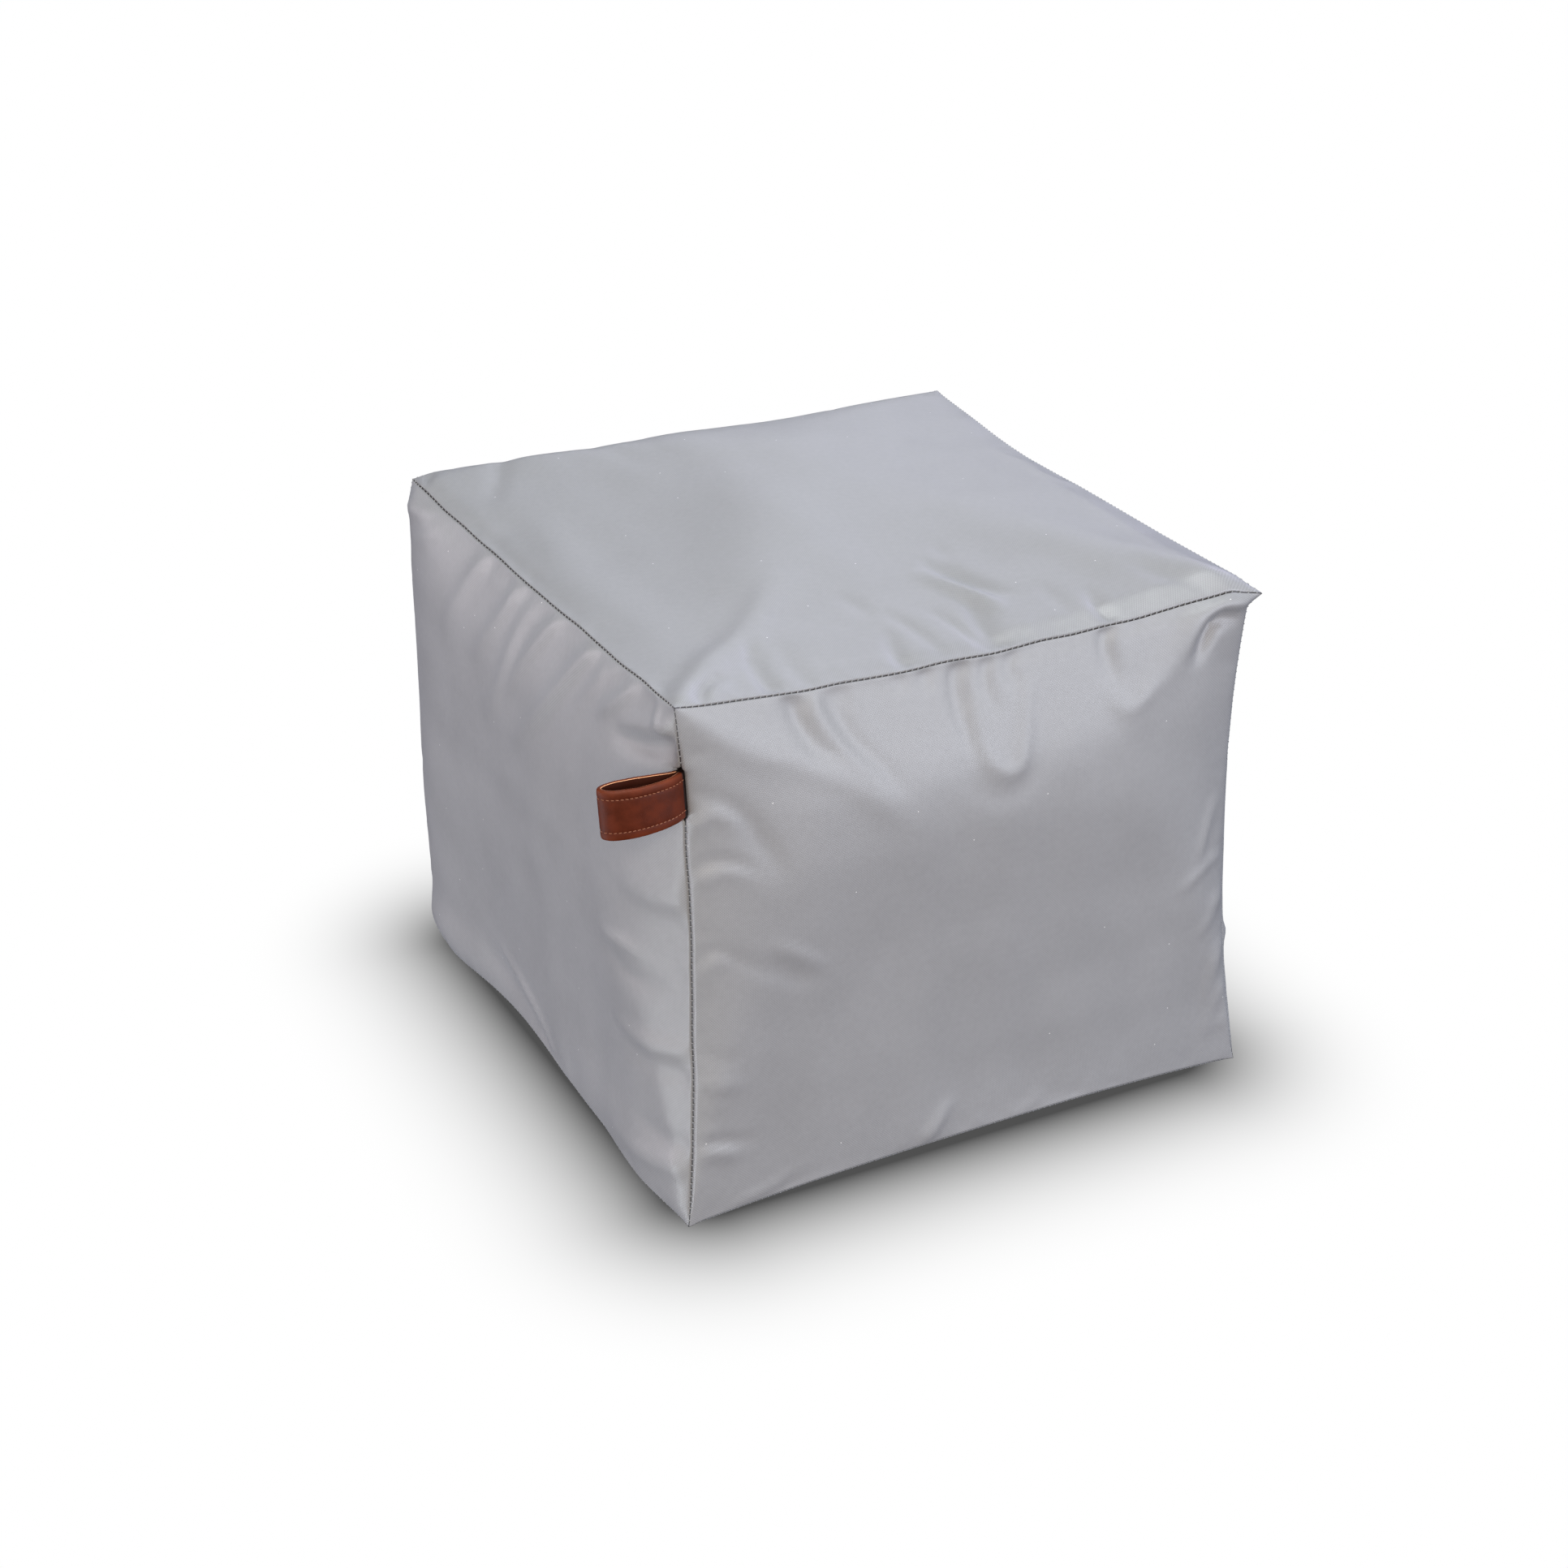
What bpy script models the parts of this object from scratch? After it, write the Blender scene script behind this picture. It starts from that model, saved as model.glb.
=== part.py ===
"""Cube pouf stool: a soft filled cube of woven cloth, with a folded leather loop in one upright seam.

Metres, +Z up. The origin is the middle of the flat base on the floor. The front panel looks along -Y
and the left panel along -X. The loop stands out from the upright seam that those two panels share.
"""

import math
from collections import namedtuple

import bmesh
import bpy
import numpy as np

MM = 0.001

# Driving sizes of the filled cube, measured between its ears
WIDTH = 0.400
DEPTH = 0.408
HEIGHT = 0.343

# A seam keeps out near its ears and is drawn in along its middle: 1 - |t| ** SEAM_POWER
SEAM_POWER = 2.4
# The filling pushes each panel out by its crown. The panel rises steeply from its seams, but no steeper than
# these slopes from its left, right, lower and upper seam, as seen from outside.
Panel = namedtuple("Panel", "normal right up crown_mm from_left from_right from_low from_high")
FREE = 9.0
PANELS = {
    "front": Panel("-Y", "+X", "+Z", 26, FREE, FREE, 0.10, 0.30),
    "back": Panel("+Y", "-X", "+Z", 23, FREE, FREE, 0.12, 0.26),
    "left": Panel("-X", "-Y", "+Z", 21, FREE, 0.34, 0.10, 0.31),
    "right": Panel("+X", "+Y", "+Z", 23, FREE, FREE, 0.12, 0.26),
    "top": Panel("+Z", "+X", "+Y", 27, 0.105, 0.15, 0.085, 0.57),
    "base": Panel("-Z", "+X", "-Y", 32, 0.45, 0.45, 0.45, 0.45),
}
CROWN_ROUNDING = 2.6
CROWN_POWER = 0.59
# The filling settles, so the upright panels stay full almost down to the floor
LOW_ROUNDING = 9
# How crisp the edge between a slope and the level middle is
SLOPE_KNEE = 10
SIZE = {"X": WIDTH, "Y": DEPTH, "Z": HEIGHT}
AXIS = {"X": 0, "Y": 1, "Z": 2}

# The twelve seams: how far the middle of each is drawn in from its first and from its second panel
Seam = namedtuple("Seam", "first_mm second_mm")
SEAMS = {
    ("front", "top"): Seam(8, 12),
    ("left", "top"): Seam(8, 11),
    ("right", "top"): Seam(8, -1.2),
    ("back", "top"): Seam(7, 1.2),
    ("left", "front"): Seam(9, 7),
    ("right", "front"): Seam(9, 9),
    ("left", "back"): Seam(0, 4),
    ("right", "back"): Seam(9, 9),
    ("front", "base"): Seam(-4, 9.5),
    ("left", "base"): Seam(-2.5, 4),
    ("right", "base"): Seam(-2, 9),
    ("back", "base"): Seam(-2, 9),
}

# Where a seam is bent besides, place_mm from its end at -X, -Y or -Z: how far it is drawn in from its first
# and from its second panel
Bend = namedtuple("Bend", "place_mm reach_mm first_mm second_mm")
BENDS = {
    ("left", "base"): [Bend(50, 50, -5.5, 0), Bend(258, 75, 4.5, 1), Bend(378, 45, -6, 0)],
    ("right", "top"): [Bend(268, 70, 2.2, 1.8)],
    ("back", "top"): [Bend(262, 50, 0, 1.8)],
}

# The eight ears: how far each stands off its corner of the box WIDTH x DEPTH x HEIGHT
Ear = namedtuple("Ear", "x_mm y_mm z_mm")
EARS = {
    ("left", "front", "top"): Ear(1, 0, 1.5),
    ("right", "front", "top"): Ear(-9.7, 2, -1.5),
    ("left", "back", "top"): Ear(-1.5, 2, 2.5),
    ("right", "back", "top"): Ear(3.5, -2, -0.8),
    ("left", "front", "base"): Ear(1, -3, 0),
    ("right", "front", "base"): Ear(3, 0, 0),
    ("left", "back", "base"): Ear(-2, -1, 0),
    ("right", "back", "base"): Ear(0, 0, 0),
}
# Where an ear's very tip is drawn out or blunted, its last few mm are pulled this far aside
TIPS = {
    ("right", "front", "top"): Ear(7.2, 0, -7.5),
    ("left", "back", "top"): Ear(3.2, 0, -2.8),
    ("left", "back", "base"): Ear(1, -1, 1),
}
TIP_REACH = 0.015

# The folds: soft ridges, or troughs where the height is negative. Each runs from (x0, y0) to (x1, y1),
# measured from its panel's lower left ear as seen from outside. The height is the same all along where
# taper is 0, and fades to nothing at the far end where taper is 1.
Fold = namedtuple("Fold", "x0 y0 x1 y1 width height taper")
FOLDS = {
    "front": [
        Fold(14, 332, 148, 246, 13, 1.6, 0.5),  # from the ear over the leather loop
        Fold(78, 343, 97, 302, 9, -2.5, 0.6),
        Fold(103, 336, 142, 272, 9, -1.4, 0.6),
        Fold(167, 343, 172, 322, 9, -1.5, 0.9),
        Fold(192, 343, 197, 284, 9, -2.2, 0.6),  # the tongue in the middle and what edges it
        Fold(202, 290, 220, 264, 9, 1.4, 0),
        Fold(222, 264, 240, 308, 9, 1.4, 0.3),
        Fold(202, 255, 242, 259, 10, -0.8, 0.3),
        Fold(297, 343, 304, 303, 9, -2.2, 0.7),
        Fold(394, 331, 366, 322, 11, 3.6, 0.2),  # the roll from the far ear and the tuck under it
        Fold(362, 316, 311, 274, 11, 2.8, 0.8),
        Fold(390, 322, 368, 304, 9, -5, 0.6),
        Fold(15, 285, 60, 228, 10, -2, 0.7),  # along the upright seam, from top to bottom
        Fold(3, 269, 33, 264, 9, 1.8, 0.6),
        Fold(2, 241, 43, 236, 9, -1.3, 0.7),
        Fold(4, 183, 66, 153, 9, -1.3, 0.6),
        Fold(51, 183, 86, 160, 9, 1.4, 0.5),
        Fold(2, 97, 31, 90, 9, 1.4, 0.6),
        Fold(4, 56, 47, 45, 9, -1.4, 0.7),
        Fold(389, 196, 374, 156, 8, 1.4, 0.4),
        Fold(396, 92, 379, 44, 8, 1.5, 0.6),
        Fold(162, 3, 181, 29, 9, 1.8, 0.6),
    ],
    "left": [
        Fold(2, 321, 56, 341, 10, 2, 0.3),
        Fold(181, 343, 126, 266, 10, 2.8, 1),
        Fold(240, 343, 180, 262, 10, 3, 1),
        Fold(293, 343, 190, 231, 11, 3.6, 1),
        Fold(352, 337, 316, 309, 9, 2.6, 0.5),
        Fold(404, 329, 347, 312, 9, 2.8, 0.7),
        Fold(404, 317, 342, 302, 9, -3.8, 0.7),
        Fold(405, 216, 346, 212, 14, 2.8, 0.8),
        Fold(370, 168, 320, 163, 9, 1.9, 0.6),
        Fold(384, 152, 330, 152, 9, -1.7, 0.6),
        Fold(405, 115, 336, 105, 9, 2.4, 0.7),
        Fold(405, 38, 320, 17, 9, 2.7, 0.7),
        Fold(388, 20, 240, 28, 24, 2.5, 0.6),  # the bulges by the floor
        Fold(12, 22, 100, 20, 16, 5, 0.8),
        Fold(112, 30, 196, 10, 12, -3, 0.2),
        Fold(127, 45, 200, 14, 9, 2.2, 0.2),
    ],
    "top": [
        Fold(2, 4, 132, 126, 13, 4, 0.7),  # from the ear over the leather loop, and on to the back
        Fold(112, 98, 172, 290, 42, 4.5, 0.5),
        Fold(18, 1, 41, 28, 9, -2.8, 0.4),
        Fold(65, 1, 81, 66, 9, -2.4, 0.9),
        Fold(157, 1, 172, 48, 9, -2, 0.9),
        Fold(188, 8, 178, 72, 9, -1.5, 0.5),
        Fold(223, 1, 231, 74, 10, -2.5, 0.7),
        Fold(250, 44, 228, 102, 10, 3, 0.4),
        Fold(260, 58, 237, 110, 10, -2.8, 0.4),
        Fold(300, 1, 311, 38, 9, -2.3, 0.8),
        Fold(374, 8, 350, 56, 11, -2, 0.7),
        Fold(388, 9, 300, 150, 23, 2.2, 0.8),
        Fold(397, 188, 383, 264, 9, 1.2, 0.5),
        Fold(62, 398, 32, 344, 9, -1.6, 0.6),
        Fold(32, 80, 42, 330, 20, 1.8, 0.3),
    ],
    "right": [
        Fold(8, 334, 92, 282, 15, 4, 0.7),
        Fold(128, 343, 138, 296, 10, -3.5, 0.6),
        Fold(205, 343, 190, 280, 11, -3, 0.8),
        Fold(278, 343, 292, 300, 10, -3.5, 0.6),
        Fold(398, 332, 330, 276, 15, 4.5, 0.7),
        Fold(4, 228, 55, 206, 10, -3, 0.6),
        Fold(404, 176, 352, 160, 10, -3, 0.6),
        Fold(4, 92, 48, 76, 10, 3, 0.5),
        Fold(240, 24, 320, 26, 24, 4, 0.4),
    ],
    "back": [
        Fold(8, 334, 104, 270, 15, 4.5, 0.7),
        Fold(148, 343, 136, 290, 10, -3.5, 0.7),
        Fold(236, 343, 248, 276, 11, -3.5, 0.6),
        Fold(312, 343, 306, 306, 10, -3, 0.6),
        Fold(392, 334, 318, 286, 15, 4, 0.7),
        Fold(4, 204, 62, 186, 10, -3, 0.6),
        Fold(396, 128, 344, 110, 10, -3, 0.6),
        Fold(130, 24, 230, 24, 26, 5, 0.4),
    ],
    "base": [],
}
# A fold dies out within this distance of the seam that it hangs from
SEAM_FADE_MM = 7

# How many quads a panel has along each axis. Along X they are narrow, for the folds that hang from the
# front seam. The outermost ones are the lips, which part from the seam in a narrow groove.
QUADS = {"X": 42, "Y": 30, "Z": 26}
LIP = 0.003
WELD = 0.00001

# The leather loop. It is a strip folded on itself, upright, whose two ends lie in the seam.
LOOP_REACH = 0.0477
LOOP_HALF_SWELL = 0.0075
LOOP_POINT = 0.9  # how slender the loop is at the seam
LOOP_SWING = 0.005  # how far its tip leans back from straight out along -X
STRIP_WIDTH = 0.030
STRIP_THICKNESS = 0.0028
LOOP_HEIGHT = 0.2866  # of the middle of its root, above the floor
LOOP_DROOP = math.radians(3.2)
ROOT_LENGTH = 0.010  # what the seam holds
ROOT_SLANT = 0.006
LOOP_STEPS = 40
CLEARANCE = 0.0003

CLOTH_COLOUR = (0.36, 0.36, 0.38, 1)
CLOTH_ROUGHNESS = 0.6
LEATHER_COLOUR = (0.12, 0.02, 0.006, 1)
LEATHER_ROUGHNESS = 0.55
CREASE = math.radians(40)


def sign_of(direction):
    return 1 if direction[0] == "+" else -1


def vector_of(direction):
    vector = np.zeros(3)
    vector[AXIS[direction[1]]] = sign_of(direction)
    return vector


def opposite(direction):
    return ("-" if direction[0] == "+" else "+") + direction[1]


def panel_facing(direction):
    return next(name for name, panel in PANELS.items() if panel.normal == direction)


def facing(names):
    """The sign of each axis on which one of these panels looks out, 0 on the others."""
    return sum(vector_of(PANELS[name].normal) for name in names)


def ear_position(names):
    signs = facing(names)
    ear = EARS[next(key for key in EARS if set(key) == set(names))]
    box_corner = signs * np.array([WIDTH, DEPTH, HEIGHT]) / 2
    return box_corner + np.array([0, 0, HEIGHT / 2]) + np.array(ear) * MM


def tip_pull(names, distance):
    """How the tip of an ear pulls a seam aside at these distances from the ear."""
    tip = next((TIPS[key] for key in TIPS if set(key) == set(names)), (0, 0, 0))
    return np.clip(1 - distance / TIP_REACH, 0, 1)[:, None] * np.array(tip) * MM


def bends(key, t, length_mm):
    """How the bends of a seam of this length displace it at t."""
    moved = np.zeros((len(t), 3))
    for bend in BENDS.get(key, []):
        from_place = (1 + t) * length_mm / 2 - bend.place_mm
        share = np.exp(-((from_place / bend.reach_mm) ** 2)) * (1 - np.abs(t) ** 6)
        for name, pull in zip(key, (bend.first_mm, bend.second_mm)):
            moved -= share[:, None] * vector_of(PANELS[name].normal) * pull * MM
    return moved


def seam_points(name_a, name_b, t):
    """Points of the seam between two panels, with t from -1 to 1 along the axis that it follows."""
    names = (name_a, name_b)
    run = next(letter for letter in "XYZ" if facing(names)[AXIS[letter]] == 0)
    first_ear, last_ear = names + (panel_facing("-" + run),), names + (panel_facing("+" + run),)
    start, end = ear_position(first_ear), ear_position(last_ear)
    key = next(key for key in SEAMS if set(key) == set(names))
    drawn_in = -sum(
        vector_of(PANELS[name].normal) * pull * MM for name, pull in zip(key, SEAMS[key])
    )
    along = (t[:, None] + 1) / 2
    sag = 1 - np.abs(t[:, None]) ** SEAM_POWER
    half = SIZE[run] / 2
    tips = tip_pull(first_ear, (1 + t) * half) + tip_pull(last_ear, (1 - t) * half)
    return start * (1 - along) + end * along + sag * drawn_in + bends(key, t, SIZE[run] / MM) + tips


def relief(name, x_mm, y_mm):
    """How far the panel's folds raise it at these places, in metres."""
    raised = np.zeros_like(x_mm)
    for fold in FOLDS[name]:
        run = np.array([fold.x1 - fold.x0, fold.y1 - fold.y0], float)
        length = np.hypot(*run)
        along = ((x_mm - fold.x0) * run[0] + (y_mm - fold.y0) * run[1]) / length**2
        along = np.clip(along, 0, 1)
        off_x = x_mm - fold.x0 - along * run[0]
        off_y = y_mm - fold.y0 - along * run[1]
        across = np.exp(-(off_x**2 + off_y**2) / fold.width**2)
        fading = 1 - fold.taper * along**2 * (3 - 2 * along)
        raised += fold.height * across * fading
    return raised * MM


def grid_lines(direction):
    """Where a panel's grid crosses an axis, from -1 at one seam to 1 at the other."""
    letter = direction[1]
    inset = 2 * LIP / SIZE[letter]
    between_lips = np.linspace(-1 + inset, 1 - inset, QUADS[letter] - 1)
    return np.concatenate([[-1], between_lips, [1]])


def surface_normals(points, outward):
    normals = np.cross(np.gradient(points, axis=0), np.gradient(points, axis=1))
    normals /= np.linalg.norm(normals, axis=2, keepdims=True)
    return normals * np.sign((normals * outward).sum(axis=2, keepdims=True))


def swell(panel, columns, rows):
    """How far the filling pushes the panel out at its grid's points, in mm."""
    across, upward = columns[:, None], rows[None]
    half_x, half_y = SIZE[panel.right[1]] / MM / 2, SIZE[panel.up[1]] / MM / 2
    settled = (upward < 0) & (panel.up == "+Z")
    rounding = np.where(settled, LOW_ROUNDING, CROWN_ROUNDING)
    pillow = (1 - np.abs(across) ** CROWN_ROUNDING) * (1 - np.abs(upward) ** rounding)
    limits = (
        panel.crown_mm * pillow**CROWN_POWER,
        panel.from_left * half_x * (1 + across),
        panel.from_right * half_x * (1 - across),
        panel.from_low * half_y * (1 + upward),
        panel.from_high * half_y * (1 - upward),
    )
    return sum(np.maximum(limit, 1e-6) ** -SLOPE_KNEE for limit in limits) ** (-1 / SLOPE_KNEE)


def panel_points(name):
    """The panel's grid of points: its four seams blended across it, its crown, and its folds."""
    panel = PANELS[name]
    columns, rows = grid_lines(panel.right), grid_lines(panel.up)
    across, upward = sign_of(panel.right) * columns, sign_of(panel.up) * rows
    low = seam_points(name, panel_facing(opposite(panel.up)), across)
    high = seam_points(name, panel_facing(panel.up), across)
    left = seam_points(name, panel_facing(opposite(panel.right)), upward)
    right = seam_points(name, panel_facing(panel.right), upward)
    u = ((columns + 1) / 2)[:, None, None]
    v = ((rows + 1) / 2)[None, :, None]
    blend = (1 - v) * low[:, None] + v * high[:, None] + (1 - u) * left[None] + u * right[None]
    ears = (1 - u) * (1 - v) * low[0] + u * (1 - v) * low[-1] + (1 - u) * v * high[0] + u * v * high[-1]
    points = blend - ears
    outward = vector_of(panel.normal)
    points = points + swell(panel, columns, rows)[..., None] * MM * outward

    x_mm = (u[..., 0] + 0 * v[..., 0]) * SIZE[panel.right[1]] / MM
    y_mm = (v[..., 0] + 0 * u[..., 0]) * SIZE[panel.up[1]] / MM
    fade = np.ones_like(x_mm)
    for distance in (x_mm, x_mm.max() - x_mm, y_mm, y_mm.max() - y_mm):
        fade = fade * (1 - np.exp(-((distance / SEAM_FADE_MM) ** 2)))
    raised = relief(name, x_mm, y_mm) * fade
    points = points + raised[..., None] * surface_normals(points, outward)
    points[..., 2] = np.maximum(points[..., 2], 0)
    return points


def material(name, colour, roughness):
    made = bpy.data.materials.new(name)
    made.use_nodes = True
    shader = made.node_tree.nodes["Principled BSDF"]
    shader.inputs["Base Color"].default_value = colour
    shader.inputs["Roughness"].default_value = roughness
    shader.inputs["Metallic"].default_value = 0
    return made


def mesh_object(name, shape):
    """Turns a bmesh into an object, with its faces pointing out."""
    bmesh.ops.recalc_face_normals(shape, faces=shape.faces)
    mesh = bpy.data.meshes.new(name)
    shape.to_mesh(mesh)
    shape.free()
    mesh.shade_smooth()
    mesh.set_sharp_from_angle(angle=CREASE)
    made = bpy.data.objects.new(name, mesh)
    bpy.context.scene.collection.objects.link(made)
    return made


def pouf_body():
    """The six panels, sewn edge to edge into one filled solid."""
    shape = bmesh.new()
    for name in PANELS:
        points = panel_points(name)
        corners = [[shape.verts.new(point) for point in row] for row in points]
        for near, far in zip(corners, corners[1:]):
            for j in range(len(near) - 1):
                shape.faces.new((near[j], far[j], far[j + 1], near[j + 1]))
    bmesh.ops.remove_doubles(shape, verts=shape.verts, dist=WELD)
    return mesh_object("pouf_body", shape)


def loop_root():
    """Where the middle of the loop's root crosses the upright seam."""
    t = np.array([2 * LOOP_HEIGHT / HEIGHT - 1])
    return seam_points("left", "front", t)[0]


def teardrop(turn, outset):
    """A point of the loop seen from above: how far out it is, and how far forward.

    turn goes from 0 at the seam, round the tip at pi, to 2 pi. outset moves it off the strip's middle.
    """

    def middle(angle):
        out = LOOP_REACH * (1 - math.cos(angle)) / 2
        swell = LOOP_HALF_SWELL * math.sin(angle) * math.sin(angle / 2) ** LOOP_POINT
        return np.array([out, swell - LOOP_SWING * (out / LOOP_REACH) ** 2])

    step = 0.01
    tangent = middle(min(turn + step, 2 * math.pi)) - middle(max(turn - step, 0))
    tangent /= np.linalg.norm(tangent)
    return middle(turn) + outset * np.array([-tangent[1], tangent[0]])


def loop_turns():
    """The turns at which the strip is sampled, from where its two layers part to where they meet."""
    parted = next(
        turn
        for turn in np.linspace(0.1, 1, 400)
        if teardrop(turn, -STRIP_THICKNESS / 2)[1] > teardrop(2 * math.pi - turn, -STRIP_THICKNESS / 2)[1]
    )
    return np.linspace(parted, 2 * math.pi - parted, LOOP_STEPS + 1)


def place_on_seam(outline_point, height):
    """From the loop's own frame to the part's: out along -X and forward along -Y, drooping."""
    out, forward = outline_point
    root = loop_root()
    x = root[0] - out * math.cos(LOOP_DROOP) - height * math.sin(LOOP_DROOP)
    z = root[2] - out * math.sin(LOOP_DROOP) + height * math.cos(LOOP_DROOP)
    return (x, root[1] - forward, z)


def root_outline(spread, length):
    """The two corners where the seam's grip on the strip ends, inside the body."""
    axis = np.array([-length, -ROOT_SLANT * length / ROOT_LENGTH])
    side = np.array([-axis[1], axis[0]]) / np.linalg.norm(axis) * spread
    return axis + side, axis - side


def prism(name, outline, hole, half_height):
    """An upright prism over an outline, with the same outline's hole through it where one is given."""
    shape = bmesh.new()
    rims = []
    for height in (-half_height, half_height):
        outer = [shape.verts.new(place_on_seam(point, height)) for point in outline]
        inner = [shape.verts.new(place_on_seam(point, height)) for point in hole]
        rims.append((outer, inner))
    (low_outer, low_inner), (high_outer, high_inner) = rims
    for low, high in ((low_outer, high_outer), (low_inner, high_inner)):
        for i in range(len(low)):
            k = (i + 1) % len(low)
            shape.faces.new((low[i], low[k], high[k], high[i]))
    for outer, inner in rims:
        if not inner:
            shape.faces.new(outer)
            continue
        for i in range(LOOP_STEPS):
            shape.faces.new((outer[i], outer[i + 1], inner[(i + 1) % LOOP_STEPS], inner[i]))
        shape.faces.new([outer[LOOP_STEPS]] + outer[LOOP_STEPS + 1 :] + [outer[0], inner[0]])
    return mesh_object(name, shape)


def loop_tab():
    """The folded strip: two layers that part from the seam, a round fold, and the root they share."""
    turns = loop_turns()
    outline = [teardrop(turn, STRIP_THICKNESS / 2) for turn in turns]
    hole = [teardrop(turn, -STRIP_THICKNESS / 2) for turn in turns[:-1]]
    outline += root_outline(STRIP_THICKNESS, ROOT_LENGTH)
    return prism("loop_tab", outline, hole, STRIP_WIDTH / 2)


def seam_pocket():
    """The slot that the seam leaves for the loop's root, a clearance wider than the strip all round."""
    outline = [teardrop(turn, STRIP_THICKNESS / 2 + CLEARANCE) for turn in loop_turns()]
    outline += root_outline(STRIP_THICKNESS + CLEARANCE, ROOT_LENGTH + CLEARANCE)
    pocket = prism("seam_pocket", outline, [], STRIP_WIDTH / 2 + CLEARANCE)
    pocket.hide_render = True
    pocket.display_type = "WIRE"
    return pocket


def build():
    for leftover in list(bpy.data.objects):
        bpy.data.objects.remove(leftover, do_unlink=True)
    cloth = material("woven_cloth", CLOTH_COLOUR, CLOTH_ROUGHNESS)
    leather = material("brown_leather", LEATHER_COLOUR, LEATHER_ROUGHNESS)
    body = pouf_body()
    body.data.materials.append(cloth)
    cut = body.modifiers.new("seam pocket", "BOOLEAN")
    cut.operation = "DIFFERENCE"
    cut.object = seam_pocket()
    tab = loop_tab()
    tab.data.materials.append(leather)


build()
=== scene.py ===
"""The look of the cube pouf stool: its sewn cover of woven cloth, its seam thread and its leather loop.

Metres, +Z up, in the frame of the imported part: the front panel looks along -Y, the left panel along -X.
Names that end in _mm are in millimetres.
"""

import math
from collections import namedtuple

import bmesh
import bpy
import numpy as np
from mathutils import Matrix, Vector, noise

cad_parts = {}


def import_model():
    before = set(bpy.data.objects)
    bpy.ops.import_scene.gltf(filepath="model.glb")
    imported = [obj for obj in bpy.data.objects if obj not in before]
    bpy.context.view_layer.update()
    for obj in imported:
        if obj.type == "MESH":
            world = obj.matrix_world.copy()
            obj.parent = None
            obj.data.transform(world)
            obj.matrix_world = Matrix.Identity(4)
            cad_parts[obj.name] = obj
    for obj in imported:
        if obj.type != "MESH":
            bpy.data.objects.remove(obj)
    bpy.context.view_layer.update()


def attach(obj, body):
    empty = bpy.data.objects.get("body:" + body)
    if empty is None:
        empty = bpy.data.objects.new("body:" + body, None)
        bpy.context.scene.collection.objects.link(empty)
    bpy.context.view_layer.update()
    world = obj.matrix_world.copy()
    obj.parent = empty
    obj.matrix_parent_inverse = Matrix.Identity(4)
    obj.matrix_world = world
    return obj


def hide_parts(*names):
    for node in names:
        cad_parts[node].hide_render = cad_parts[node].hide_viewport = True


MM = 0.001

# ---------- the sewn cube, as in the part
WIDTH = 0.400
DEPTH = 0.408
HEIGHT = 0.343
SIZE = {"X": WIDTH, "Y": DEPTH, "Z": HEIGHT}
AXIS = {"X": 0, "Y": 1, "Z": 2}

# The filling pushes each panel out by its crown. The panel rises steeply from its seams, but no steeper than
# these slopes from its left, right, lower and upper seam, as seen from outside.
Panel = namedtuple("Panel", "normal right up crown_mm from_left from_right from_low from_high")
FREE = 9.0  # so steep that it limits nothing
PANELS = {
    "front": Panel("-Y", "+X", "+Z", 26, FREE, FREE, 0.10, 0.30),
    "back": Panel("+Y", "-X", "+Z", 23, FREE, FREE, 0.12, 0.26),
    "left": Panel("-X", "-Y", "+Z", 21, FREE, 0.34, 0.10, 0.31),
    "right": Panel("+X", "+Y", "+Z", 23, FREE, FREE, 0.12, 0.26),
    "top": Panel("+Z", "+X", "+Y", 27, 0.105, 0.15, 0.085, 0.57),
    "base": Panel("-Z", "+X", "-Y", 32, 0.45, 0.45, 0.45, 0.45),
}
CROWN_ROUNDING = 2.6
CROWN_POWER = 0.59
LOW_ROUNDING = 9  # the filling settles, so the upright panels stay full almost down to the floor
SLOPE_KNEE = 10  # how crisp the edge between a slope and the level middle is

# How far the middle of each seam is drawn in from its first and from its second panel
SEAM_POWER = 2.4
EAR_POWER = 6  # how suddenly bends and strays die out at the ears
Seam = namedtuple("Seam", "first_mm second_mm")
SEAMS = {
    ("front", "top"): Seam(8, 12),
    ("left", "top"): Seam(8, 11),
    ("right", "top"): Seam(8, -1.2),
    ("back", "top"): Seam(7, 1.2),
    ("left", "front"): Seam(9, 7),
    ("right", "front"): Seam(9, 9),
    ("left", "back"): Seam(0, 4),
    ("right", "back"): Seam(9, 9),
    ("front", "base"): Seam(-4, 9.5),
    ("left", "base"): Seam(-2.5, 4),
    ("right", "base"): Seam(-2, 9),
    ("back", "base"): Seam(-2, 9),
}

# Where a seam is bent besides, place_mm from its end at -X, -Y or -Z, and how far it is drawn in there from
# its first and from its second panel
Bend = namedtuple("Bend", "place_mm reach_mm first_mm second_mm")
BENDS = {
    ("left", "base"): [Bend(50, 50, -5.5, 0), Bend(258, 75, 4.5, 1), Bend(378, 45, -6, 0)],
    ("right", "top"): [Bend(268, 70, 2.2, 1.8)],
    ("back", "top"): [Bend(262, 50, 0, 1.8)],
}

# How far each ear stands off its corner of the box WIDTH x DEPTH x HEIGHT
Ear = namedtuple("Ear", "x_mm y_mm z_mm")
EARS = {
    ("left", "front", "top"): Ear(1, 0, 1.5),
    ("right", "front", "top"): Ear(-9.7, 2, -1.5),
    ("left", "back", "top"): Ear(-1.5, 2, 2.5),
    ("right", "back", "top"): Ear(3.5, -2, -0.8),
    ("left", "front", "base"): Ear(1, -3, 0),
    ("right", "front", "base"): Ear(3, 0, 0),
    ("left", "back", "base"): Ear(-2, -1, 0),
    ("right", "back", "base"): Ear(0, 0, 0),
}
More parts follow.
